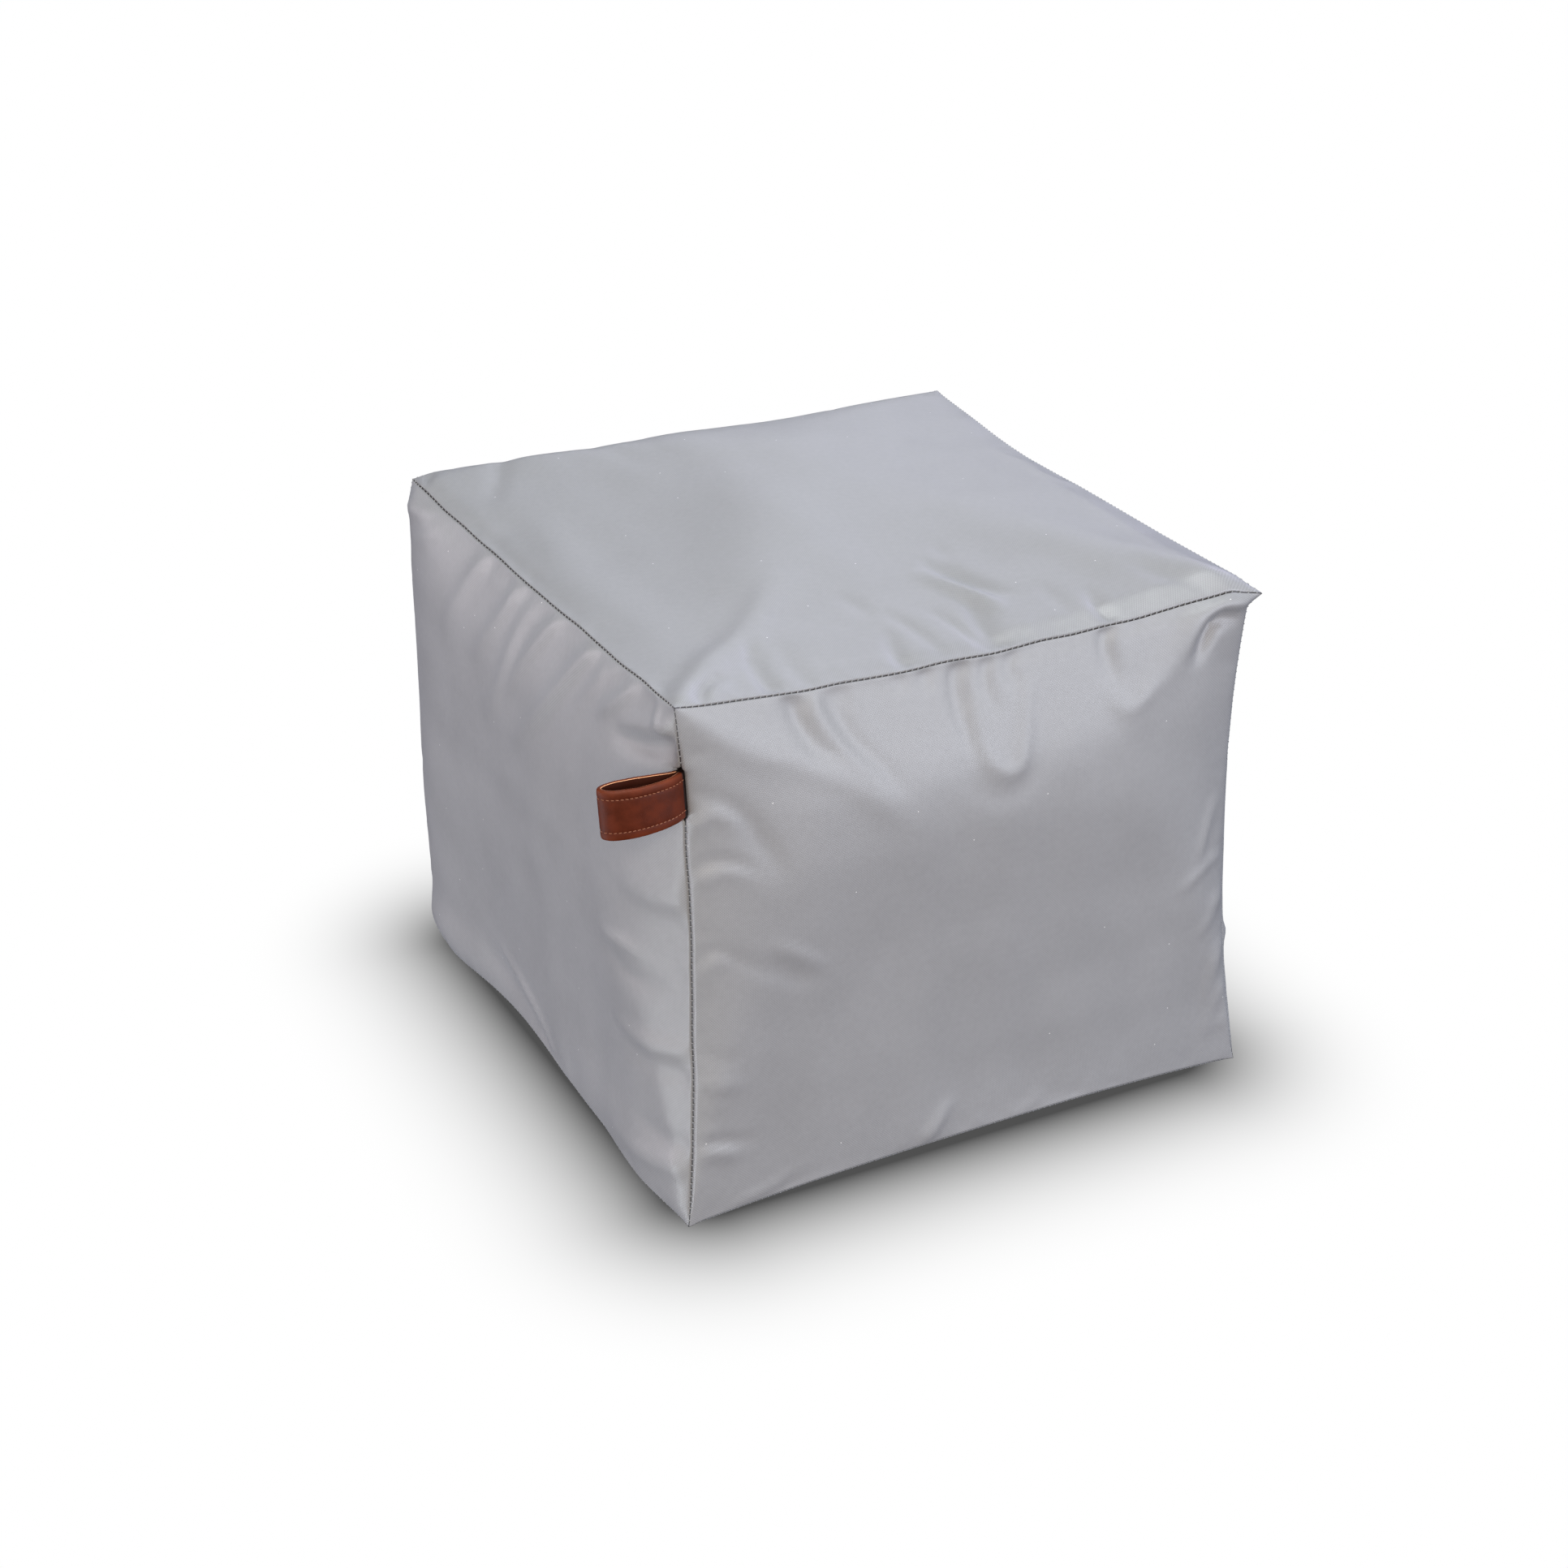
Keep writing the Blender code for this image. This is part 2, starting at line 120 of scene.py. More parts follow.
# Where an ear's very tip is drawn out or blunted, its last few mm are pulled this far aside
TIPS = {
    ("right", "front", "top"): Ear(7.2, 0, -7.5),
    ("left", "back", "top"): Ear(3.2, 0, -2.8),
    ("left", "back", "base"): Ear(1, -1, 1),
}
TIP_REACH = 0.015

# ---------- folds of the cover
# A fold is a soft ridge, or a trough where its rise is negative, that follows a smooth path. The path's
# points are in mm from the panel's lower left ear, as seen from outside. left and right are how wide the
# fold is on either side of its crest, looking along the path, and rise is its height at its start, middle
# and end.
Fold = namedtuple("Fold", "path left right rise")
FRONT_FOLDS = [
    Fold(((14, 332), (45, 312), (80, 298), (108, 282), (132, 262), (148, 246)), 13, 10, (1, 1.6, 0.5)),
    Fold(((76, 343), (80, 325), (88, 308), (98, 300)), 4, 7, (-2.5, -2.5, -0.5)),
    Fold(((90, 343), (96, 320), (110, 300), (128, 280)), 5, 5, (1.5, 1.8, 0.5)),
    Fold(((103, 336), (112, 308), (126, 290), (142, 272)), 6, 6, (-0.8, -1.4, -0.3)),
    Fold(((150, 343), (154, 326)), 4, 4, (-1, -0.8, 0)),
    Fold(((167, 343), (172, 322)), 4, 5, (-1.6, -1.2, 0)),
    # the tongue in the middle
    Fold(((192, 343), (190, 320), (193, 298), (198, 282)), 8, 6, (-2.2, -2.2, -0.6)),
    Fold(((199, 304), (203, 283), (212, 269), (222, 264), (231, 270), (241, 312)), 6, 5, (0.6, 1.4, 0.6)),
    Fold(((190, 272), (200, 256), (222, 249), (241, 259), (250, 280)), 9, 9, (-0.4, -0.8, -0.3)),
    Fold(((213, 343), (211, 320), (219, 300)), 5, 5, (-1.6, -1.5, 0)),
    Fold(((230, 343), (229, 326), (238, 311)), 4, 5, (-1.3, -1.3, 0)),
    Fold(((297, 343), (299, 322), (304, 303)), 5, 6, (-2.2, -2.2, -0.5)),
    Fold(((316, 343), (319, 325)), 5, 5, (-1.4, -0.8, 0)),
    Fold(((299, 300), (305, 288), (316, 284), (334, 294)), 6, 6, (0.3, 1.1, 0.5)),
    # the roll from the far ear and the crease tucked under it
    Fold(((306, 268), (326, 287), (346, 303), (360, 317)), 15, 15, (0.3, 1.5, 1)),
    Fold(((352, 303), (360, 314), (367, 323), (378, 329), (394, 331)), 11, 6, (0.4, 2.6, 4)),
    Fold(((366, 301), (372, 311), (379, 319), (390, 322)), 5, 5, (-1.5, -6, -3)),
    # along the upright seam with the loop
    Fold(((3, 267), (13, 276), (24, 272), (33, 262)), 6, 6, (1.6, 2, 0.4)),
    Fold(((15, 285), (34, 271), (48, 250), (60, 228)), 7, 10, (-1, -2, -0.4)),
    Fold(((2, 239), (14, 246), (30, 242), (43, 234)), 4, 4, (-1.4, -1.2, -0.2)),
    Fold(((5, 233), (22, 238), (38, 230)), 4, 6, (1.2, 1.2, 0.2)),
    Fold(((2, 179), (10, 186), (20, 183), (44, 167), (66, 153)), 4, 5, (-1.4, -1, -0.4)),
    Fold(((3, 173), (13, 179), (22, 173)), 5, 7, (1.4, 1.2, 0)),
    Fold(((51, 183), (68, 173), (86, 160)), 4, 6, (0.4, 1.4, 0.4)),
    Fold(((44, 176), (62, 163), (79, 149)), 6, 6, (-0.4, -1.1, -0.3)),
    Fold(((3, 118), (16, 112), (32, 110)), 5, 5, (-1, -0.8, 0)),
    Fold(((2, 97), (14, 95), (31, 90)), 5, 6, (1.4, 1.2, 0.3)),
    Fold(((4, 56), (24, 52), (47, 45)), 4, 4, (-1.6, -1, 0)),
    Fold(((5, 50), (16, 47), (30, 39)), 4, 5, (1, 1.8, 0.4)),
    # along the far upright seam
    Fold(((389, 196), (381, 176), (374, 156)), 3, 3.5, (0.8, 1.6, 0.4)),
    Fold(((391, 156), (375, 149), (359, 140)), 4, 4, (1.4, 1.2, 0.3)),
    Fold(((394, 130), (385, 113), (374, 102)), 4, 4, (1.2, 1.2, 0.3)),
    Fold(((396, 92), (387, 71), (379, 44)), 4, 4, (1.6, 1.4, 0.3)),
    Fold(((394, 58), (384, 40), (377, 24)), 4, 4, (1.2, 1, 0.3)),
    # from the lower seam
    Fold(((162, 3), (171, 15), (181, 29)), 5, 4, (1.6, 1.8, 0.4)),
    Fold(((33, 4), (54, 8), (76, 15)), 4, 5, (1, 1, 0.3)),
    Fold(((236, 3), (247, 12)), 5, 4, (1.2, 0.8, 0.2)),
]
LEFT_FOLDS = [
    # the streaks that hang from the upper seam
    Fold(((128, 343), (104, 305), (76, 262)), 5, 8, (2.2, 1.6, 0)),
    Fold(((181, 343), (160, 308), (126, 266)), 5, 8, (2.8, 2.3, 0)),
    Fold(((210, 343), (192, 318), (172, 268), (148, 232)), 6, 8, (0.8, 2, 0)),
    Fold(((240, 343), (214, 309), (180, 262)), 5, 8, (3, 2.6, 0)),
    Fold(((293, 343), (262, 305), (225, 264), (190, 231)), 5, 9, (3.6, 3.2, 0)),
    Fold(((320, 343), (300, 318), (272, 284)), 5, 7, (1.6, 1.3, 0)),
    Fold(((352, 337), (336, 323), (316, 309)), 5, 6, (2, 3, 0.8)),
    Fold(((2, 321), (25, 329), (56, 343)), 6, 6, (2, 2, 1)),
    Fold(((24, 308), (42, 318), (60, 333)), 5, 5, (0.6, 1, 0.4)),
    # by the loop
    Fold(((347, 312), (378, 320), (404, 329)), 7, 6, (1, 2.4, 3)),
    Fold(((342, 302), (371, 307), (404, 317)), 6, 7, (-1.4, -4, -4)),
    Fold(((386, 339), (388, 328), (395, 323), (402, 329)), 3, 3, (0.8, 1.6, 0.6)),
    Fold(((346, 212), (378, 212), (405, 216)), 18, 9, (0.6, 2.6, 3)),
    Fold(((320, 163), (345, 167), (370, 168)), 5, 5, (0.6, 2, 0.8)),
    Fold(((330, 152), (358, 149), (384, 152)), 6, 8, (-0.5, -1.8, -0.8)),
    Fold(((336, 105), (370, 108), (405, 115)), 7, 6, (0.8, 2.4, 2.4)),
    Fold(((352, 92), (404, 98)), 6, 8, (-0.5, -1.2, -1.4)),
    Fold(((350, 46), (378, 48), (404, 53)), 6, 6, (-0.4, -1.4, -2)),
    Fold(((320, 17), (360, 24), (405, 38)), 7, 7, (0.8, 2.4, 2.8)),
    # by the floor
    Fold(((388, 20), (312, 25), (240, 28)), 26, 22, (2.5, 2.5, 1)),
    Fold(((12, 22), (50, 20), (100, 20)), 17, 16, (5, 4, 1)),
    Fold(((127, 45), (150, 39), (174, 30), (190, 22), (206, 9)), 5, 4, (1, 3, 2)),
    Fold(((112, 30), (150, 20), (196, 10)), 12, 12, (-2, -3, -2)),
]
TOP_FOLDS = [
    # the roof ridge from the ear over the loop to the middle, and on to the back
    Fold(((2, 4), (24, 26), (50, 50), (75, 68), (102, 94), (132, 126)), 12, 14, (3, 4, 1)),
    Fold(((104, 90), (148, 156), (169, 239), (166, 316)), 36, 60, (2.2, 5, 1)),
    Fold(((30, 66), (34, 124), (28, 190), (35, 250), (46, 300), (42, 340)), 16, 26, (0.6, 1.8, 0.8)),
    Fold(((388, 9), (352, 56), (328, 102), (300, 150)), 22, 24, (2, 2.4, 0.4)),
    # what hangs from the front seam
    Fold(((18, 1), (21, 11), (30, 22), (41, 28)), 3.5, 3.5, (-2.6, -2.8, -1.4)),
    Fold(((28, 3), (34, 12), (44, 18)), 4, 4, (0.8, 1.4, 0.4)),
    Fold(((65, 1), (67, 20), (72, 44), (81, 66)), 4, 8, (-2.4, -2.2, 0)),
    Fold(((92, 1), (93, 30), (98, 60)), 6, 6, (-0.8, -0.8, 0)),
    Fold(((157, 1), (162, 24), (172, 48)), 5, 6, (-2, -1.8, 0)),
    Fold(((188, 8), (187, 36), (178, 72)), 6, 5, (-0.8, -1.6, 0)),
    Fold(((168, 62), (166, 84), (160, 100)), 6, 6, (-0.2, -1, 0)),
    Fold(((217, 3), (213, 34), (205, 66)), 4, 4, (-1.6, -1.4, 0)),
    Fold(((223, 1), (227, 28), (233, 54), (227, 78)), 5, 8, (-2.6, -2.4, -0.4)),
    Fold(((250, 44), (240, 72), (228, 102)), 8, 5, (1.6, 3.2, 1)),
    Fold(((259, 58), (247, 84), (236, 110)), 5, 8, (-1.6, -3, -1.4)),
    Fold(((256, 134), (251, 112)), 6, 6, (-0.3, -1, -0.3)),
    Fold(((285, 20), (287, 60)), 6, 6, (-0.6, -0.8, 0)),
    Fold(((300, 1), (304, 18), (311, 38)), 4, 6, (-2.4, -2, 0)),
    Fold(((374, 8), (358, 26), (350, 56)), 8, 12, (-1.6, -2, -0.4)),
    # by the far seams
    Fold(((13, 409), (11, 399), (4, 388)), 3, 3, (-2, -2.4, -1)),
    Fold(((397, 188), (388, 214), (391, 242), (383, 264)), 4, 4, (0.8, 1.2, 0.3)),
    Fold(((32, 344), (48, 372), (62, 398)), 6, 8, (-0.4, -1.6, -1)),
    Fold(((122, 398), (134, 366), (140, 330)), 8, 10, (-0.8, -0.8, 0)),
]
RIGHT_FOLDS = [
    Fold(((8, 334), (50, 308), (92, 282)), 15, 15, (4, 3.4, 1.2)),
    Fold(((128, 343), (132, 320), (138, 296)), 7, 7, (-3, -2, 0)),
    Fold(((205, 343), (198, 312), (190, 280)), 7, 8, (-3, -2, 0)),
    Fold(((278, 343), (284, 322), (292, 300)), 7, 7, (-3, -2, 0)),
    Fold(((398, 332), (364, 304), (330, 276)), 15, 15, (4.5, 3.5, 1.3)),
    Fold(((4, 228), (30, 218), (55, 206)), 7, 7, (-3, -2, -0.5)),
    Fold(((404, 176), (378, 168), (352, 160)), 7, 7, (-3, -2, -0.5)),
    Fold(((4, 92), (26, 84), (48, 76)), 7, 7, (3, 2, 0.8)),
    Fold(((240, 22), (280, 24), (320, 26)), 24, 24, (5, 4.5, 3)),
]
BACK_FOLDS = [
    Fold(((8, 334), (56, 300), (104, 270)), 15, 15, (4.5, 3.6, 1.3)),
    Fold(((148, 343), (142, 316), (136, 290)), 7, 7, (-3, -2, 0)),
    Fold(((236, 343), (242, 310), (248, 276)), 7, 8, (-3, -2.4, 0)),
    Fold(((312, 343), (309, 324), (306, 306)), 6, 6, (-3, -2, 0)),
    Fold(((392, 334), (355, 308), (318, 286)), 15, 15, (4, 3, 1.2)),
    Fold(((4, 204), (34, 196), (62, 186)), 7, 7, (-3, -2, -0.5)),
    Fold(((396, 128), (370, 120), (344, 110)), 7, 7, (-3, -2, -0.5)),
    Fold(((130, 24), (180, 24), (230, 24)), 26, 26, (5, 4.5, 3)),
]
FOLDS = {
    "front": FRONT_FOLDS,
    "left": LEFT_FOLDS,
    "top": TOP_FOLDS,
    "right": RIGHT_FOLDS,
    "back": BACK_FOLDS,
    "base": [],
}

# Small puckers, gathered by the thread all along every seam
PUCKER_GAP_MM = (11, 34)
PUCKER_LENGTH_MM = (7, 24)
PUCKER_WIDTH_MM = (2.6, 4.5)
PUCKER_RISE_MM = (-0.9, 0.8)
PUCKER_SLANT = 0.5
PUCKER_SKEW = 1.3
PUCKER_SEED = 11

# Slow unevenness of the filling under the cloth: wavelength and height, both in mm
LUMPS_MM = ((95, 1.3), (38, 0.35))

# A fold dies out within this distance of its seam
SEAM_FADE_MM = 4.5
# The stitched line lies in a groove between the lips of its two panels, as wide open as its gap says
GROOVE_DEPTH = 0.0016
GROOVE_WIDTH_MM = 0.85
SEAM_GAPS = {("front", "top"): 1.3, ("left", "top"): 1.2, ("left", "front"): 0.75}
OTHER_GAP = 0.7
EAR_FADE_MM = 9
# How far the seams wander from side to side, each along a line of its own in the noise
WANDER = 0.0011
WANDER_WAVE_MM = 34
WANDER_APART = 7.3

# Grid lines of a panel: the first ones follow the lips, then they are evenly spaced
LIP_LINES_MM = (0.0, 0.4, 0.8, 1.4, 2.3, 3.9, 6.5)
QUAD_MM = 3.6
WELD = 0.00001
SHARP_ANGLE = math.radians(50)
PANEL_SHIFT_MM = 1000  # how far apart the panels lie in the UV map

# ---------- the leather loop, as in the part
LOOP_REACH = 0.0477
LOOP_HALF_SWELL = 0.0075
LOOP_POINT = 0.9  # how slender the loop is at the seam
LOOP_SWING = 0.005  # how far its tip leans back from straight out along -X
STRIP_WIDTH = 0.030
STRIP_THICKNESS = 0.0028
LOOP_HEIGHT = 0.2866
LOOP_DROOP = math.radians(3.2)
ROOT_LENGTH = 0.010  # what the seam holds
ROOT_SLANT = 0.006

LOOP_STEPS = 84
LAYER_GAP = 0.0001  # between the strip's two ends where the seam holds them
# The seam pulls the strip's ends back as they go in
ROOT_TUCK = 0.0021
ROOT_TUCK_REACH = 0.0045
# The strip is squeezed at its root, and spreads towards its fold
STRIP_SPREAD = (0.965, 1.045)

# The strip's section, from the middle of its outer face over its cut edge to the middle of its inner face:
# height in mm, and outset off the strip's middle, 1 on its outer face and -1 on its inner one. Both faces dip
# where a row of stitches pulls them in. raw is 1 where the pale cut edge shows, flesh is 1 on the inner face.
Rim = namedtuple("Rim", "height_mm outset raw flesh")
OUTER_FACE = (
    (0, 1), (5, 1), (8.6, 1.02), (9.5, 0.93), (10, 0.84), (10.5, 0.93), (11.4, 1.03), (13, 1),
    (14.1, 0.9), (14.65, 0.7), (14.95, 0.35), (15, -0.2), (14.95, -0.72),
)
CUT_EDGE = ((14.92, -0.78), (14.75, -1.02))
INNER_FACE = ((14.68, -1.02), (10.5, -0.94), (10, -0.88), (9.5, -0.94), (5, -1), (0, -1))
STRIP_SECTION = (
    [Rim(*place, 0, 0) for place in OUTER_FACE]
    + [Rim(*place, 1, 0) for place in CUT_EDGE]
    + [Rim(*place, 0, 1) for place in INNER_FACE]
)
# How uneven its cut edges are, and over what length
STRIP_RAGGED_MM = 0.22
STRIP_RAGGED_WAVE_MM = 9

# The seam's lips part around the strip, and hold it in a pocket
SLOT_HALF_HEIGHT_MM = 14.8
SLOT_END_MM = 2.6
SLOT_FADE_MM = 6
SLOT_PART_MM = {"left": 5.6, "front": 1.4}
SLOT_DEPTH = 0.011
SLOT_LINES_MM = (-18.2, -16.4, -15.2, 15.2, 16.4, 18.2)

# ---------- thread
THREAD_SIDES = 6
THREAD_TAPER = 0.55
# Seam stitches cross the groove from lip to lip, a little aslant. The points of their path are a share of
# the way across and a share of the arch out.
SEAM_STITCH_PITCH_MM = 4.1
SEAM_STITCH_RADIUS = 0.00036
SEAM_STITCH_LIP = 2  # which lip line that a stitch comes out of
SEAM_STITCH_SLANT_MM = 0.45
SEAM_STITCH_ARCH = 0.00022
SEAM_STITCH_PATH = ((0, -1), (0.25, 0.6), (0.5, 1), (0.75, 0.6), (1, -1))
SEAM_END_MM = 2  # no stitch nearer than this to a seam's end
# Rows of stitches along both edges of the strip. The points of their path are a share of half a stitch
# along, and so many mm deep.
LOOP_ROW_MM = 10
LOOP_STITCH_PITCH_MM = 2.6
LOOP_STITCH_RADIUS = 0.00027
LOOP_STITCH_LENGTH_MM = 1.9
LOOP_STITCH_SLANT_MM = 0.12
LOOP_STITCH_PATH = ((-1, 0.7), (-0.7, 0.2), (0, 0.04), (0.7, 0.2), (1, 0.7))


def sign_of(direction):
    return 1 if direction[0] == "+" else -1


def vector_of(direction):
    vector = np.zeros(3)
    vector[AXIS[direction[1]]] = sign_of(direction)
    return vector


def opposite(direction):
    return ("-" if direction[0] == "+" else "+") + direction[1]


def panel_facing(direction):
    return next(name for name, panel in PANELS.items() if panel.normal == direction)


def facing(names):
    """The sign of each axis on which one of these panels looks out, 0 on the others."""
    return sum(vector_of(PANELS[name].normal) for name in names)


def seam_axis(names):
    """The letter of the axis that the seam between these two panels follows."""
    return next(letter for letter in "XYZ" if facing(names)[AXIS[letter]] == 0)


def listed(table, names):
    """The table's own key for these panels, whatever their order, or None."""
    return next((key for key in table if set(key) == set(names)), None)


def ear_position(names):
    box_corner = facing(names) * np.array([WIDTH, DEPTH, HEIGHT]) / 2
    return box_corner + np.array([0, 0, HEIGHT / 2]) + np.array(EARS[listed(EARS, names)]) * MM


def tip_pull(names, distance):
    """How the tip of an ear pulls a seam aside at these distances from the ear."""
    tip = TIPS.get(listed(TIPS, names), (0, 0, 0))
    return np.clip(1 - distance / TIP_REACH, 0, 1)[:, None] * np.array(tip) * MM


def wander(index, t, length_mm):
    """How far a seam strays to one side at t, as noise that dies out at its ears."""
    row = WANDER_APART * index
    strays = [noise.noise(Vector((x * length_mm / 2 / WANDER_WAVE_MM, row, 0))) for x in t]
    return WANDER * np.array(strays) * (1 - np.abs(t) ** EAR_POWER)


def bends(key, t, length_mm):
    """How the bends of a seam of this length displace it at t."""
    moved = np.zeros((len(t), 3))
    for bend in BENDS.get(key, []):
        from_place = (1 + t) * length_mm / 2 - bend.place_mm
        share = np.exp(-((from_place / bend.reach_mm) ** 2)) * (1 - np.abs(t) ** EAR_POWER)
        for name, pull in zip(key, (bend.first_mm, bend.second_mm)):
            moved -= share[:, None] * vector_of(PANELS[name].normal) * pull * MM
    return moved


def seam_points(name_a, name_b, t):
    """Points of the seam between two panels, with t from -1 to 1 along the axis that it follows."""
    names = (name_a, name_b)
    run = seam_axis(names)
    first_ear, last_ear = names + (panel_facing("-" + run),), names + (panel_facing("+" + run),)
    start, end = ear_position(first_ear), ear_position(last_ear)
    key = listed(SEAMS, names)
    drawn_in = -sum(vector_of(PANELS[name].normal) * pull * MM for name, pull in zip(key, SEAMS[key]))
    along = (t[:, None] + 1) / 2
    sag = 1 - np.abs(t[:, None]) ** SEAM_POWER
    sideways = vector_of(PANELS[key[0]].normal) - vector_of(PANELS[key[1]].normal)
    stray = wander(list(SEAMS).index(key), t, SIZE[run] / MM)[:, None] * sideways / math.sqrt(2)
    half = SIZE[run] / 2
    tips = tip_pull(first_ear, (1 + t) * half) + tip_pull(last_ear, (1 - t) * half)
    return start * (1 - along) + end * along + sag * drawn_in + bends(key, t, SIZE[run] / MM) + stray + tips


def seam_gap(name_a, name_b):
    """How far open this seam is, 1 for the widest."""
    return SEAM_GAPS.get(listed(SEAM_GAPS, (name_a, name_b)), OTHER_GAP)


def smooth_path(path, steps=12):
    """Points along a smooth cubic curve through the path's points."""
    points = np.array(path, float)
    ends = np.vstack([2 * points[0] - points[1], points, 2 * points[-1] - points[-2]])
    curve = []
    for p0, p1, p2, p3 in zip(ends, ends[1:], ends[2:], ends[3:]):
        s = np.linspace(0, 1, steps, endpoint=False)[:, None]
        pull = 2 * p1 + (p2 - p0) * s + (2 * p0 - 5 * p1 + 4 * p2 - p3) * s**2
        curve.append((pull + (3 * p1 - p0 - 3 * p2 + p3) * s**3) / 2)
    return np.vstack(curve + [points[-1:]])


def fold_height(fold, x_mm, y_mm):
    """How far one fold raises its panel at these places, in mm."""
    curve = smooth_path(fold.path)
    starts, runs = curve[:-1], np.diff(curve, axis=0)
    lengths = np.hypot(runs[:, 0], runs[:, 1])
    travelled = np.concatenate([[0], np.cumsum(lengths)])
    off_x = x_mm[..., None] - starts[:, 0]
    off_y = y_mm[..., None] - starts[:, 1]
    along = np.clip((off_x * runs[:, 0] + off_y * runs[:, 1]) / lengths**2, 0, 1)
    gap_x, gap_y = off_x - along * runs[:, 0], off_y - along * runs[:, 1]
    near = np.argmin(gap_x**2 + gap_y**2, axis=-1)

    def at_nearest(values):
        return np.take_along_axis(values, near[..., None], axis=-1)[..., 0]

    gap_x, gap_y, along = at_nearest(gap_x), at_nearest(gap_y), at_nearest(along)
    side = runs[near, 0] * gap_y - runs[near, 1] * gap_x
    width = np.where(side > 0, fold.left, fold.right)
    s = (travelled[near] + along * lengths[near]) / travelled[-1]
    first, middle, last = fold.rise
    rise = first * (1 - s) * (1 - 2 * s) + 4 * middle * s * (1 - s) + last * s * (2 * s - 1)
    return rise * np.exp(-(gap_x**2 + gap_y**2) / width**2)


def puckers(name, width_mm, height_mm):
    """Short folds that stand on the panel's four seams, unevenly spaced."""
    draw = np.random.default_rng(PUCKER_SEED + list(PANELS).index(name))
    made = []
    for length, place in (
        (width_mm, lambda run, off: (run, off)),
        (width_mm, lambda run, off: (run, height_mm - off)),
        (height_mm, lambda run, off: (off, run)),
        (height_mm, lambda run, off: (width_mm - off, run)),
    ):
        run = draw.uniform(*PUCKER_GAP_MM)
        while run < length - PUCKER_GAP_MM[0]:
            reach = draw.uniform(*PUCKER_LENGTH_MM)
            lean = draw.uniform(-PUCKER_SLANT, PUCKER_SLANT) * reach
            width = draw.uniform(*PUCKER_WIDTH_MM)
            rise = draw.uniform(*PUCKER_RISE_MM)
            path = (place(run, 0), place(run + lean, reach))
            made.append(Fold(path, width, width * PUCKER_SKEW, (rise, rise * 0.8, 0)))
            run += draw.uniform(*PUCKER_GAP_MM)
    return made


def relief(name, x_mm, y_mm):
    """How far the panel's folds and puckers raise it at these places, in mm."""
    raised = np.zeros_like(x_mm)
    for fold in FOLDS[name] + puckers(name, x_mm.max(), y_mm.max()):
        reach = 3 * max(fold.left, fold.right)
        path = np.array(fold.path)
        low, high = path.min(axis=0) - reach, path.max(axis=0) + reach
        columns = np.flatnonzero((x_mm[:, 0] > low[0]) & (x_mm[:, 0] < high[0]))
        rows = np.flatnonzero((y_mm[0] > low[1]) & (y_mm[0] < high[1]))
        if len(columns) and len(rows):
            patch = np.ix_(columns, rows)
            raised[patch] += fold_height(fold, x_mm[patch], y_mm[patch])
    return raised


def lumps(points):
    """The slow unevenness of the filling at these points, in mm."""
    flat = points.reshape(-1, 3)
    height = np.zeros(len(flat))
    for wave_mm, height_mm in LUMPS_MM:
        scale = 1 / (wave_mm * MM)
        height += height_mm * np.array([noise.noise(Vector(point * scale)) for point in flat])
    return height.reshape(points.shape[:2])


def grid_lines(direction):
    """Where a panel's grid crosses an axis, from -1 at one seam to 1 at the other."""
    length_mm = SIZE[direction[1]] / MM
    lips = np.array(LIP_LINES_MM)
    quads = round((length_mm - 2 * lips[-1]) / QUAD_MM)
    between = np.linspace(lips[-1], length_mm - lips[-1], quads + 1)[1:-1]
    if direction[1] == "Z":
        slot = LOOP_HEIGHT / MM + np.array(SLOT_LINES_MM)
        between = [line for line in between if min(abs(slot - line)) > QUAD_MM / 3]
        between = np.sort(np.concatenate([between, slot]))
    lines = np.concatenate([lips, between, length_mm - lips[::-1]])
    return 2 * lines / length_mm - 1


def surface_normals(points, outward):
    normals = np.cross(np.gradient(points, axis=0), np.gradient(points, axis=1))
    normals /= np.linalg.norm(normals, axis=2, keepdims=True)
    return normals * np.sign((normals * outward).sum(axis=2, keepdims=True))


def swell(panel, columns, rows):
    """How far the filling pushes the panel out at its grid's points, in mm."""
    across, upward = columns[:, None], rows[None]
    half_x, half_y = SIZE[panel.right[1]] / MM / 2, SIZE[panel.up[1]] / MM / 2
    settled = (upward < 0) & (panel.up == "+Z")
    rounding = np.where(settled, LOW_ROUNDING, CROWN_ROUNDING)
    pillow = (1 - np.abs(across) ** CROWN_ROUNDING) * (1 - np.abs(upward) ** rounding)
    limits = (
        panel.crown_mm * pillow**CROWN_POWER,
        panel.from_left * half_x * (1 + across),
        panel.from_right * half_x * (1 - across),
        panel.from_low * half_y * (1 + upward),
        panel.from_high * half_y * (1 - upward),
    )
    return sum(np.maximum(limit, 1e-6) ** -SLOPE_KNEE for limit in limits) ** (-1 / SLOPE_KNEE)


def slot_opening(run_mm):
    """How far open the seam by the loop is at these heights, from 0 to 1."""
    past_end = np.abs(run_mm - LOOP_HEIGHT / MM) - SLOT_HALF_HEIGHT_MM
    open_share = np.clip(1 - past_end / SLOT_END_MM, 0, 1)
    return open_share**2 * (3 - 2 * open_share)


